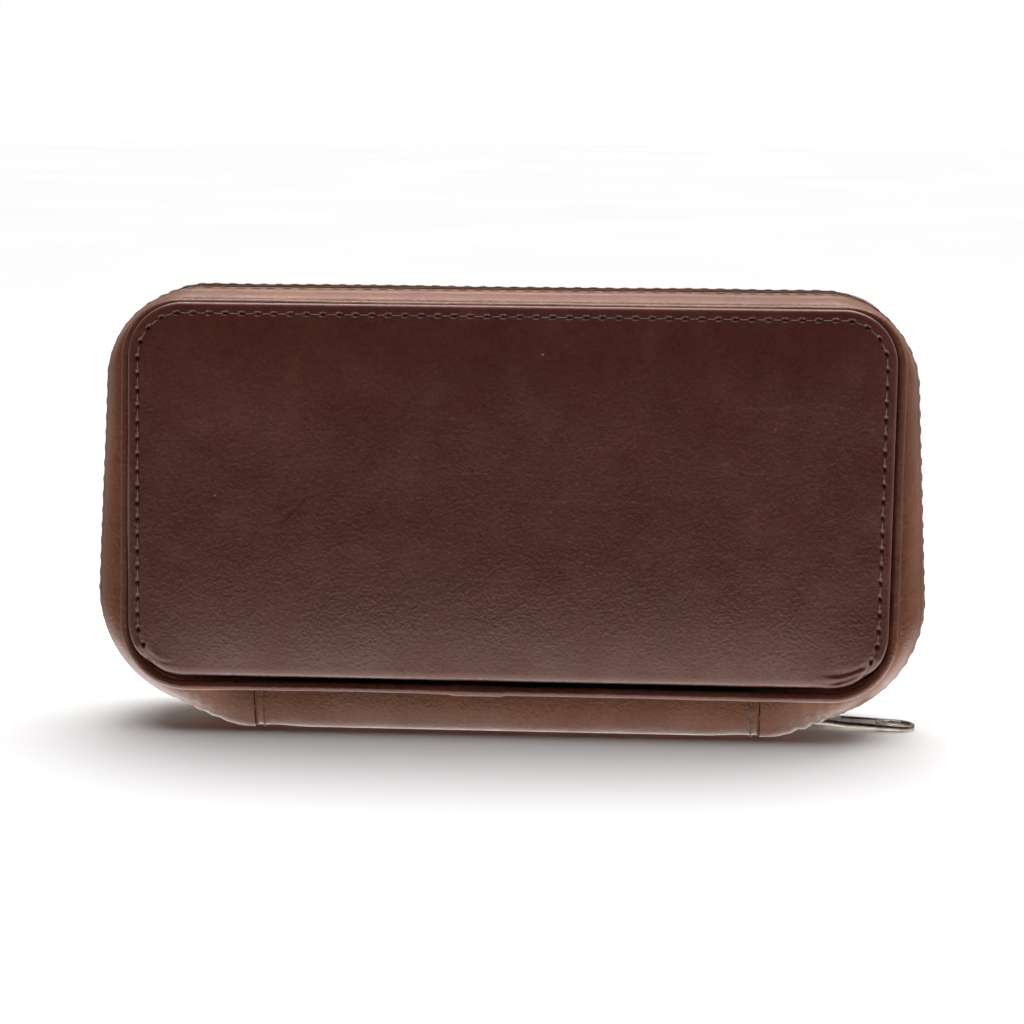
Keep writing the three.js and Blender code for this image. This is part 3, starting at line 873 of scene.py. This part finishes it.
def spine_curve(inset, steps=22):
    """Half a section of the spine (depth, height) from the piping down and under to the fold."""
    root, height = WALL_DEPTH - 0.2 - inset, WELT["low"] - 0.6
    flat_end = (SPINE_FLAT - inset / 2, inset)
    corners = np.array([(root, height), (root, 4 + inset), (root - 3, inset), flat_end])
    share = np.linspace(0, 1, steps)[:, None]
    weights = ((1 - share) ** 3, 3 * share * (1 - share) ** 2, 3 * share**2 * (1 - share), share**3)
    bend = sum(weight * corner for weight, corner in zip(weights, corners))
    across = np.linspace(bend[-1, 0], 0, 16)[1:, None]
    return np.vstack([bend, np.c_[across, np.full_like(across, inset)]])


def whole_section(inset):
    """A section of the spine from the front seam of the piping to the back one."""
    half = spine_curve(inset)
    return np.vstack([half * (-1, 1), half[-2::-1]])


def spine_leather():
    """One piece of leather under both halves, bent at the fold, with cut edges at its two seams."""
    outer, inner = whole_section(0), whole_section(LEATHER)[::-1]
    section = np.vstack([outer, inner])
    outside = np.r_[np.ones(len(outer)), np.zeros(len(inner))]
    distance, whole = lengths(outer, False)
    edge_x = np.array([0, 0.15, 0.5, 1.0, 1.5, 1.9, 2.3, 2.7, 3.2, 4.0])
    line = np.r_[-SEAM_X + edge_x, np.linspace(-SEAM_X + 5, SEAM_X - 5, 120), SEAM_X - edge_x[::-1]]
    hole_gap, fitted = stitch_holes(distance, whole, SPINE_PITCH)
    hole_gap = np.r_[hole_gap, np.full(len(inner), 9.0)]
    rows, painted_hole_shade, edges = [], [], []
    from_seam = SEAM_X - np.abs(line)
    normal = np.zeros_like(section)  # it stays zero along the inside, which isn't moved
    normal[: len(outer)] = -outward(outer[::-1], False)[::-1]
    for index, (depth, height) in enumerate(section):
        spots = np.c_[line, np.full_like(line, depth), np.full_like(line, height)]
        hole = bell(from_seam - SPINE_STITCH, 0.45) * bell(hole_gap[index], 0.8) * outside[index]
        groove = bell(from_seam - SPINE_STITCH, 0.8)
        sag = 0.12 * ripple(spots, 45, 41) * smooth(np.array(height), 0.5, 4)
        proud = 0.45 * (1 - smooth(from_seam, 4, 16))
        inward = 0.14 * groove + 0.5 * hole + 0.35 * bell(from_seam, 0.3) + 0.35 * bell(depth, 0.8) - proud
        move = -normal[index][None, :] * (inward - sag)[:, None]
        heights = np.maximum(height + move[:, 1], 0.0)
        rows.append(np.c_[line, depth + move[:, 0], heights])
        # The hole attribute paints shade into the needle holes.
        painted_hole_shade.append(hole)
        # Lightened at the seams: worn cut edge and painted highlight.
        edges.append(0.35 * bell(from_seam, 0.5))
    attributes = {"hole": np.array(painted_hole_shade).ravel(), "edge": np.array(edges).ravel()}
    made = band("spine_leather", np.array(rows), GUSSET, sharp=60, attributes=attributes)
    made.data.materials.append(RAW_EDGE)
    for face in made.data.polygons:
        if abs(face.center.x) > (SEAM_X - 0.4) * MM:
            face.material_index = 1
    place(made, None, "gusset_leather", "front_spine_leather", "back_spine_leather")

    lines = []
    for end in (-1, 1):
        for stitch in range(round(whole / fitted)):
            at = (stitch + np.linspace(0.16, 0.84, 5)) * fitted
            depth, height = np.interp(at, distance, outer[:, 0]), np.interp(at, distance, outer[:, 1])
            along = np.full(5, end * (SEAM_X - SPINE_STITCH))
            lines.append(np.c_[along, depth * 1.03, np.maximum(height, 0.22) + 0.02])
    place(tubes("spine_stitching", lines, 0.21, THREAD), None, "thread")


def spine_lining():
    """Lining cloth from one rim to the other over the inside of the fold."""
    rim, height = HEM_DEPTH + 1.2, wall_spec(HEM_DEPTH)["low"] + 3.9
    depth = np.linspace(-rim, rim, 29)
    drop = (height - LEATHER - 0.7) * (1 - (np.abs(depth) / rim) ** 2.4)
    line = np.linspace(-SEAM_X + 1, SEAM_X - 1, 80)
    rows = []
    for thick, order in ((0.0, 1), (0.5, -1)):
        for across, down in list(zip(depth, drop))[::order]:
            spots = np.c_[line, np.full_like(line, across), np.full_like(line, height - down)]
            rows.append(spots + np.c_[0 * line, 0 * line, thick + 0.12 * ripple(spots, 26, 47)])
    made = band("spine_lining", np.array(rows), LINING)
    place(made, None, "lining_cloth")


for prefix, side in HALVES.items():
    padding(prefix, side)
    piping(prefix, side)
    gusset(prefix, side)
spine_leather()
spine_lining()
for name in ("front_stiffener_board", "back_stiffener_board"):
    kept_node(name, BOARD, "board")


# ---- zip ----

SLIDER_LOW, SLIDER_HIGH = (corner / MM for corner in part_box("zip_slider_body"))
SLIDER_X = (SLIDER_LOW.x + SLIDER_HIGH.x) / 2
SLIDER_HALF = (SLIDER_HIGH.x - SLIDER_LOW.x) / 2
ZIP_Z = (SLIDER_LOW.z + SLIDER_HIGH.z) / 2
TAPE_NEAR, TAPE_FAR = 3.1, 10.5  # depths of the tape's edges
TOOTH_PITCH = 2.1
BESIDE_SLIDER = 16  # below this height the zip lies along the spine, where the slider is parked


def zip_tape(prefix, side):
    """Woven tape sewn behind the hem; the front one is relieved round the parked slider."""
    rows = []
    depths = np.linspace(TAPE_NEAR, TAPE_FAR, 12)
    for thick, order in ((-0.3, 1), (0.3, -1)):
        for depth in depths[::order]:
            points = outline(wall_spec(depth), ZIP_IN + thick, 1.2, GUSSET_END)
            near = 1 - smooth(np.abs(points[:, 0] - SLIDER_X), SLIDER_HALF + 0.6, SLIDER_HALF + 2)
            beside = (side < 0) * (points[:, 1] < BESIDE_SLIDER) * near
            share = (depth - TAPE_NEAR) / (TAPE_FAR - TAPE_NEAR)
            notched = HEM_DEPTH + 0.2 + (TAPE_FAR - HEM_DEPTH - 0.2) * share
            rows.append(shell_points(side, points, depth + (notched - depth) * beside))
    made = band(prefix + "_woven_zip_tape", np.array(rows), TAPE, sharp=60)
    place(made, prefix + "_shell", "zip_tape_cloth", prefix + "_zip_tape")
    # A beaded edge carries the teeth.
    points = outline(HEM, ZIP_IN, 1.2, GUSSET_END)
    if side < 0:
        points = points[(points[:, 1] > BESIDE_SLIDER) | (points[:, 0] < SLIDER_X - SLIDER_HALF - 2)]
    bead = tubes(prefix + "_zip_tape_bead", [shell_points(side, points, 3.05)], 0.55, TAPE, 8)
    place(bead, prefix + "_shell", "zip_tape_cloth")


def tooth(centre, along, outward_dir, side):
    """A tooth: a waisted block whose rounded head reaches across the middle."""
    # (depth, half width) from root to head; a depth below 0 is past the mid-plane
    profile = [(3.3, 0.62), (2.2, 0.62), (1.5, 0.45), (0.75, 0.42), (0.2, 0.7), (-0.35, 0.66), (-0.62, 0.34)]
    points = []
    for thick in (-0.8, 0.8):
        for sign in (-1, 1):
            for depth, half in profile if sign < 0 else profile[::-1]:
                spread = half * (0.88 if depth < 0 else 1)
                spot = centre + along * sign * spread + outward_dir * thick
                points.append(spot + np.array((0, side * depth, 0)))
    count = 2 * len(profile)
    faces = [tuple(range(count)), tuple(range(2 * count - 1, count - 1, -1))]
    faces += [(i, (i + 1) % count, count + (i + 1) % count, count + i) for i in range(count)]
    return points, faces


def zip_teeth(prefix, side):
    """One row of teeth, left out where the slider is parked; the two rows are half a pitch apart."""
    points = outline(HEM, ZIP_IN, 0.4, SEAM_X - 4)
    distance, whole = lengths(points, False)
    normal = outward(points, False)
    start = 0.4 if side > 0 else 0.4 + TOOTH_PITCH / 2
    parked = SLIDER_X - SLIDER_HALF if side > 0 else SLIDER_X - SLIDER_HALF - 20
    vertices, faces = [], []
    for station in np.arange(start, whole, TOOTH_PITCH):
        x, z = np.interp(station, distance, points[:, 0]), np.interp(station, distance, points[:, 1])
        past_slider = side < 0 and x > SLIDER_X + SLIDER_HALF + 1.6
        if z < BESIDE_SLIDER and x > parked - 0.5 and not past_slider:
            continue
        column = min(np.searchsorted(distance, station), len(points) - 1)
        out = np.array((normal[column, 0], 0, normal[column, 1]))
        along = np.array((out[2], 0, -out[0]))
        block, sides = tooth(np.array((x, 0, z)), along, out, side)
        first = len(vertices)
        vertices += block
        faces += [tuple(first + corner for corner in face) for face in sides]
    made = mesh_object(prefix + "_interlocking_teeth", vertices, faces, BRASS, sharp=35)
    soften(made, 0.12, 1)
    place(made, prefix + "_shell", "zip_metal", prefix + "_zip_teeth")


# ---- slider and pull ----


PULL_TILT = 3  # degrees by which the pull hangs down from its pivot
PULL_PIVOT_Z = 2.6
PULL_REACH = (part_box("zip_pull_tab")[1].x / MM - SLIDER_X) / math.cos(math.radians(PULL_TILT)) - 0.05


def extruded(loops):
    """Points and faces of a solid from stacked outlines (points (x, y), z), all with the same count."""
    count = len(loops[0][0])
    points = np.vstack([np.c_[line, np.full(count, z)] for line, z in loops])
    faces = grid_faces(len(loops), count, False, True)
    faces += [tuple(range(count)), tuple((len(loops) - 1) * count + i for i in range(count))]
    return points, faces


def mirrored(upper):
    """A closed outline from its upper half, whose first and last points lie on the X axis."""
    return np.array(upper + [(x, -y) for x, y in upper[-2:0:-1]])


def bow(x, radius, start, end, steps):
    """Points round a centre on the X axis, between two angles in degrees."""
    turn = np.radians(np.linspace(start, end, steps))
    return [(x + radius * math.cos(a), radius * math.sin(a)) for a in turn]


def tab_outline(inset):
    """The pull's outline (x, y) from its pivot, narrow at the eye and round at the far end."""
    eye, half = 3.2 - inset, 4.3 - inset
    start = -0.8 + inset
    round_x = PULL_REACH - 4.3
    left = [(start, 0.0), (start, eye - 0.9), (start + 0.25, eye - 0.25), (start + 0.9, eye)]
    shoulder = [(8 - 0.2 * inset, eye), (9.6, eye + 0.12), (11.2, eye + 0.75), (12.4, half - 0.12)]
    return mirrored(left + shoulder + [(14, half), (round_x - 4, half)] + bow(round_x, half, 90, 0, 12))


def stadium(x0, x1, half, widened):
    """An oval between two x positions, widened all round."""
    radius = half + widened
    return mirrored(bow(x0 + half, radius, 180, 90, 10) + bow(x1 - half, radius, 90, 0, 10))


def cut(made, loops, operation="DIFFERENCE"):
    """Cuts an extruded solid out of made, or joins it on."""
    tool = mesh_object("tool", *extruded(loops), GUNMETAL)
    boolean = made.modifiers.new("cut", "BOOLEAN")
    boolean.operation, boolean.object, boolean.solver = operation, tool, "EXACT"
    graph = bpy.context.evaluated_depsgraph_get()
    changed = bpy.data.meshes.new_from_object(made.evaluated_get(graph))
    made.modifiers.clear()
    old, made.data = made.data, changed
    bpy.data.meshes.remove(old)
    bpy.data.objects.remove(tool)


def finish_casting(made, x, y, z, bevel):
    """Shades a casting, moves it to its place and rounds its edges."""
    made.data.shade_smooth()
    made.data.set_sharp_from_angle(angle=math.radians(35))
    made.data.transform(Matrix.Translation(Vector((x, y, z)) * MM))
    soften(made, bevel, 2)


def pull_tab():
    """Cast pull with a raised rim, a sunk panel, a slot for the bridge and an oval hole."""
    half, rim = 0.75, 0.35
    rounded = [(rim, half), (0.1, half - 0.1), (0, half - 0.3)]  # (inset, height) round an edge
    layers = [(inset, -z) for inset, z in rounded] + rounded[::-1]
    made = mesh_object("zip_pull", *extruded([(tab_outline(inset), z) for inset, z in layers]), GUNMETAL)
    slot_box = np.array([(0.8, 0), (0.8, 1.7), (7.2, 1.7), (7.2, -1.7), (0.8, -1.7)])
    cut(made, [(slot_box, -2), (slot_box, 2)])
    ovals = [(rim, -2), (rim, -half), (0.0, -half + rim), (0.0, half - rim), (rim, half), (rim, 2)]
    cut(made, [(stadium(PULL_REACH - 9.3, PULL_REACH - 1.3, 2.4, widened), z) for widened, z in ovals])
    near, far = 12.6, PULL_REACH - 10.4
    panel = mirrored([(near, 0), (near + 0.2, 2.9), (far, 3.1), (far - 0.9, 1.6), (far - 1.2, 0)])
    wide = panel * (1, 1.08)
    wide[:, 0] += np.sign(panel[:, 0] - (near + far) / 2) * 0.25
    for sign in (-1, 1):
        cut(made, [(panel, sign * (half - 0.38)), (wide, sign * half), (wide, sign * 2.0)])
    # The sunk panel takes the lighter metal: a painted highlight on the flat panel.
    made.data.materials.append(SUNK_METAL_HIGHLIGHT)
    for face in made.data.polygons:
        if abs(face.normal.z) > 0.95 and abs(face.center.z) < (half - 0.2) * MM:
            face.material_index = 1
    made.data.transform(Matrix.Rotation(math.radians(PULL_TILT), 4, "Y"))
    finish_casting(made, SLIDER_X, 0, PULL_PIVOT_Z, 0.09)
    place(made, "pull", "slider_metal", "zip_pull_tab")


def slider():
    """Two crowned plates with rolled flanges over the teeth, joined by a wedge between the rows."""
    half_width = (SLIDER_HIGH.y - SLIDER_LOW.y) / 2
    channel = 1.4  # half the gap between the plates

    def plate_outline(inset):
        length, width = SLIDER_HALF - inset, half_width - inset
        upper = [(-length, 0), (-length, width - 1.3), (-length + 0.4, width - 0.4), (-length + 1.5, width)]
        upper += [(length * 0.3, width), (length * 0.7, width * 0.93), (length * 0.93, width * 0.76)]
        return mirrored(upper + [(length, width * 0.5), (length, 0)])

    vertices, faces = [], []
    # (inset, height over the channel) from a plate's foot to its crown
    crown = [(0.0, 0.0), (0.0, 0.55), (0.15, 0.85), (0.6, 1.05), (1.5, 1.1)]
    for sign in (-1, 1):
        part, sides = extruded([(plate_outline(inset), sign * (channel + z)) for inset, z in crown])
        first = len(vertices)
        vertices += list(part)
        faces += [tuple(first + corner for corner in face) for face in sides]
    made = mesh_object("zip_slider", vertices, faces, GUNMETAL)
    wedge = [(0.5, 0), (0.6, 0.5), (2.6, 0.75), (4.4, 0.15), (4.4, -0.15), (2.6, -0.75), (0.6, -0.5)]
    wedge = np.array(wedge) - (SLIDER_HALF, 0)
    cut(made, [(wedge, -channel - 0.5), (wedge, channel + 0.5)], "UNION")
    finish_casting(made, SLIDER_X, 0, ZIP_Z, 0.1)
    place(made, "slider", "slider_metal", "zip_slider_body")


for prefix, side in HALVES.items():
    zip_tape(prefix, side)
    zip_teeth(prefix, side)
slider()
pull_tab()
soften(kept_node("zip_slider_bridge", GUNMETAL, "slider_metal"), 0.3, 3, 40)
for name in ("front_top_stop", "back_top_stop", "zip_bottom_stop"):
    soften(kept_node(name, BRASS, "zip_metal"), 0.3, 3, 40)


# ---- lining, pocket and loops ----


def lining_floor(prefix, side):
    """Lining cloth glued over the board, very slightly puckered at its rim."""
    shape = {**WELT, "r_low": 18.4, "r_high": 16.4}

    def at(thick):
        def depth(x, z):
            spots = np.c_[x, np.full_like(x, side * FLOOR_DEPTH), z]
            return FLOOR_DEPTH + 0.25 + thick + 0.07 * ripple(spots, 40, 51 + side)

        return depth

    outer, inner = ([(inset, at(thick)) for inset in (3.0, 3.6, 6, 12, 24, 44)] for thick in (0.45, 0.0))
    made = domed(prefix + "_lining_cloth_floor", side, shape, outer, inner, LINING, 2.6)
    place(made, prefix + "_shell", "lining_cloth", prefix + "_lining_floor")


def lining_wall(prefix, side):
    """Lining cloth up the tray's wall, turned over at its rim behind the zip tape."""
    floor, rim = FLOOR_DEPTH - 0.25, HEM_DEPTH + 0.4
    behind = ZIP_IN + 0.75
    section = [  # (depth, inset) up the gusset's side of the cloth, over the rim and down the tray's side
        (floor, 3.0), (TAPE_FAR + 0.6, 3.0), (8.0, behind + 0.05), (rim + 0.5, behind),
        (rim, behind + 0.15), (rim - 0.1, behind + 0.4), (rim + 0.2, behind + 0.62), (8.0, behind + 0.7),
        (TAPE_FAR + 0.6, 3.6), (floor, 3.6),
    ]
    rows = []
    for index, (depth, inset) in enumerate(section):
        points = outline(wall_spec(depth), inset, 1.6)
        normal = outward(points, True)
        spots = shell_points(side, points, depth)
        wave = 0.10 * ripple(spots, 30, 55 + side) * (0 < index < len(section) - 1)
        rows.append(shell_points(side, points + normal * wave[:, None], depth))
    grid = np.array(rows)
    faces = grid_faces(grid.shape[0], grid.shape[1], True, True)
    made = mesh_object(prefix + "_lining_cloth_wall", grid.reshape(-1, 3), faces, LINING, sharp=60)
    place(made, prefix + "_shell", "lining_cloth", prefix + "_lining_wall")
    _, round_tray = lengths(outline(WELT, 3.0, 1.6), True)


for prefix, side in HALVES.items():
    lining_floor(prefix, side)
    lining_wall(prefix, side)


POCKET_STITCH = 7.0  # the pocket's hem is stitched this far below its top


def slip_pocket():
    """A flat pocket on the front lining, with a turned and stitched top and its other edges sewn down."""
    low, high = (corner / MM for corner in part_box("front_slip_pocket"))
    across, up = np.linspace(low.x, high.x, 150), np.linspace(low.z, high.z, 62)
    radius = 10.0
    width, height = high.x - low.x, high.z - low.z
    grid_x, grid_z = np.meshgrid(across, up)
    # Squeeze the lower corners round.
    from_side = np.minimum(grid_x - low.x, high.x - grid_x)
    drop = radius - np.sqrt(np.maximum(radius**2 - np.clip(radius - from_side, 0, None) ** 2, 0))
    grid_z = high.z - (high.z - grid_z) * (height - drop) / height
    rim = np.minimum(np.minimum(from_side, grid_z - low.z - drop), 12)
    belly = smooth(rim, 0, 12) * smooth(grid_z, low.z, high.z)
    spots = np.dstack([grid_x, np.zeros_like(grid_x), grid_z])
    hem = smooth(grid_z, high.z - 8.2, high.z - 7.6) * 0.35
    groove = 0.22 * bell(grid_z - high.z + POCKET_STITCH, 0.35) + 0.2 * bell(rim - 1.8, 0.35)
    back = -FLOOR_DEPTH + 0.35
    face = back + 0.55 + hem - groove + belly * (0.9 + 0.22 * ripple(spots, 46, 61)) * 0.8
    front = np.dstack([grid_x, face, grid_z])
    rear = np.dstack([grid_x, np.full_like(grid_x, back), grid_z])
    rows, columns = grid_x.shape
    faces = grid_faces(rows, columns, False, False) + grid_faces(rows, columns, False, False, rows * columns)
    loop = [(0, c) for c in range(columns)] + [(r, columns - 1) for r in range(1, rows)]
    loop += [(rows - 1, c) for c in range(columns - 2, -1, -1)] + [(r, 0) for r in range(rows - 2, 0, -1)]
    ids = [row * columns + column for row, column in loop]
    lift = rows * columns
    faces += [(a, b, b + lift, a + lift) for a, b in zip(ids, ids[1:] + ids[:1])]
    points = np.vstack([front.reshape(-1, 3), rear.reshape(-1, 3)])
    made = mesh_object("slip_pocket_cloth", points, faces, LINING, sharp=50)
    place(made, "front_shell", "lining_cloth", "front_slip_pocket")
    lines = []
    row = int(np.argmin(np.abs(up - high.z + POCKET_STITCH)))
    for start in np.arange(low.x + 3, high.x - 4, 2.6):
        x = np.linspace(start, start + 1.7, 4)
        column = np.clip(np.searchsorted(across, x), 0, columns - 1)
        lines.append(np.c_[x, face[row, column] + 0.05, np.full(4, high.z - POCKET_STITCH)])
    place(tubes("slip_pocket_stitching", lines, 0.12, THREAD, 5), "front_shell", "thread")


def elastic_loop(name):
    """A ribbed elastic strap arched over the back lining, with both feet sewn down."""
    low, high = (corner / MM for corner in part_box(name))
    thick, foot = 1.0, 5.0
    middle, half = (low.x + high.x) / 2, (high.x - low.x) / 2 - foot
    base, top = FLOOR_DEPTH - 0.3, low.y
    arch = np.radians(np.linspace(180, 0, 33))
    rise = base - top - thick / 2

    def line(offset):
        """Points (x, depth) along the strap, this far outside its centre line."""
        wide, tall = half - thick / 2 + offset, rise - thick / 2 + offset
        turn = [(middle + wide * math.cos(a), base - thick / 2 - tall * math.sin(a) ** 0.85) for a in arch]
        ends = (-half - foot + 0.2, -half - 1.2, half + 1.2, half + foot - 0.2)
        feet = [(middle + x, base - thick / 2 - offset) for x in ends]
        return np.array(feet[:2] + turn[2:-2] + feet[2:])

    section = np.vstack([line(thick / 2), line(-thick / 2)[::-1]])
    heights = np.linspace(low.z + 0.2, high.z - 0.2, 29)
    edge = 0.25 * (bell(heights - heights[0], 0.5) + bell(heights - heights[-1], 0.5))
    middle_point = section.mean(axis=0)
    rows = []
    for x, depth in section:
        toward = np.array((middle_point[0] - x, middle_point[1] - depth))
        toward = toward / max(1e-6, np.hypot(*toward))
        inward = (abs(depth - base) > 2) * edge
        rows.append(np.c_[x + toward[0] * inward, depth + toward[1] * inward, heights])
    made = band(name + "_strap", np.array(rows), ELASTIC, sharp=60)
    place(made, "back_shell", "elastic", name)
    lines = []
    for from_middle in (-half - foot + 1.4, -half - 1.7, half + 1.7, half + foot - 1.4):
        for start in np.arange(heights[0] + 1.0, heights[-1] - 2.0, 2.2):
            z = np.linspace(start, start + 1.5, 4)
            lines.append(np.c_[np.full(4, middle + from_middle), np.full(4, base - thick - 0.03), z])
    place(tubes(name + "_stitching", lines, 0.13, THREAD, 5), "back_shell", "thread")


slip_pocket()
for name in ("razor_loop", "brush_loop", "tube_loop"):
    elastic_loop(name)


# ---- floor, light and camera ----


def stage_plane(name, corners, material):
    mesh = bpy.data.meshes.new(name)
    mesh.from_pydata(corners, [], [(0, 1, 2, 3)])
    mesh.materials.append(material)
    made = bpy.data.objects.new(name, mesh)
    bpy.context.scene.collection.objects.link(made)
    return made


def area_light(name, size, spot, aim, power):
    lamp = bpy.data.lights.new(name, "AREA")
    lamp.shape = "RECTANGLE"
    lamp.size, lamp.size_y = size
    lamp.energy = power
    made = bpy.data.objects.new(name, lamp)
    made.location = spot
    made.rotation_euler = (Vector(aim) - Vector(spot)).to_track_quat("-Z", "Y").to_euler()
    bpy.context.scene.collection.objects.link(made)


paper = Finish("white_paper", Roughness=0.7)
paper.color(paper.ramp(paper.noise(3, 2), (0.3, (0.84, 0.84, 0.845)), (0.7, (0.87, 0.87, 0.872))))
floor = stage_plane("floor", [(-6, -4, 0), (6, -4, 0), (6, 6, 0), (-6, 6, 0)], paper.material)
floor.visible_glossy = False  # what the leather reflects from below is set by the world instead

sky = bpy.data.lights.new("overhead_sky", "SUN")
sky.energy, sky.angle, sky.color = 3.1, math.radians(75), (1.0, 0.99, 0.98)
overhead = bpy.data.objects.new("overhead_sky", sky)
overhead.rotation_euler = (math.radians(-14), math.radians(3), 0)
bpy.context.scene.collection.objects.link(overhead)
area_light("overhead_softbox", (0.9, 0.35), (0.1, 0.25, 0.75), (0, 0.02, 0.1), 3.0)
area_light("right_softbox", (0.35, 0.8), (0.9, -0.02, 0.4), (0, 0, 0.06), 1.2)

world = bpy.data.worlds.new("studio")
bpy.context.scene.world = world
world.use_nodes = True
backdrop = world.node_tree.nodes["Background"]
backdrop.inputs["Color"].default_value = (1, 1, 1, 1)


def sky_node(kind, **inputs):
    """A node of the world, with its inputs set or linked."""
    made = world.node_tree.nodes.new("ShaderNode" + kind)
    for key, value in inputs.items():
        if isinstance(value, bpy.types.NodeSocket):
            world.node_tree.links.new(value, made.inputs[key])
        else:
            made.inputs[key].default_value = value
    return made


# Light comes from behind and from below, where it stands in for the floor. The camera sees plain white.
direction = sky_node("SeparateXYZ", Vector=sky_node("TexCoord").outputs["Generated"])
behind = {"Value": direction.outputs["Y"], "From Min": -0.4, "From Max": 0.7, "To Min": 0.015, "To Max": 0.5}
below = {"Value": direction.outputs["Z"], "From Min": -0.24, "From Max": -0.6, "To Min": 0.0, "To Max": 3.6}
sides = [sky_node("MapRange", **inputs).outputs[0] for inputs in (behind, below)]
glow = sky_node("Math")
glow.operation = "MAXIMUM"
for socket, value in zip(glow.inputs, sides):
    world.node_tree.links.new(value, socket)
seen = sky_node("LightPath").outputs["Is Camera Ray"]
strength = sky_node("MapRange", **{"Value": seen, "To Min": glow.outputs[0]})
world.node_tree.links.new(strength.outputs[0], backdrop.inputs["Strength"])

CAMERA = {"height": 190, "distance": 767, "azimuth": 3.7, "roll": 0.36, "lens": 93.6}
AIM = Vector((0.4, 0, 62.5)) * MM
camera = bpy.data.objects.new("camera", bpy.data.cameras.new("camera"))
bpy.context.scene.collection.objects.link(camera)
turn = math.radians(CAMERA["azimuth"])
reach = CAMERA["distance"] * MM
camera.location = (reach * math.sin(turn), -reach * math.cos(turn), CAMERA["height"] * MM)
look = (AIM - camera.location).to_track_quat("-Z", "Y").to_matrix()
camera.rotation_euler = (look @ Matrix.Rotation(math.radians(CAMERA["roll"]), 3, "Z")).to_euler()
camera.data.lens = CAMERA["lens"]
bpy.context.scene.camera = camera
bpy.context.scene.view_settings.view_transform = "Standard"
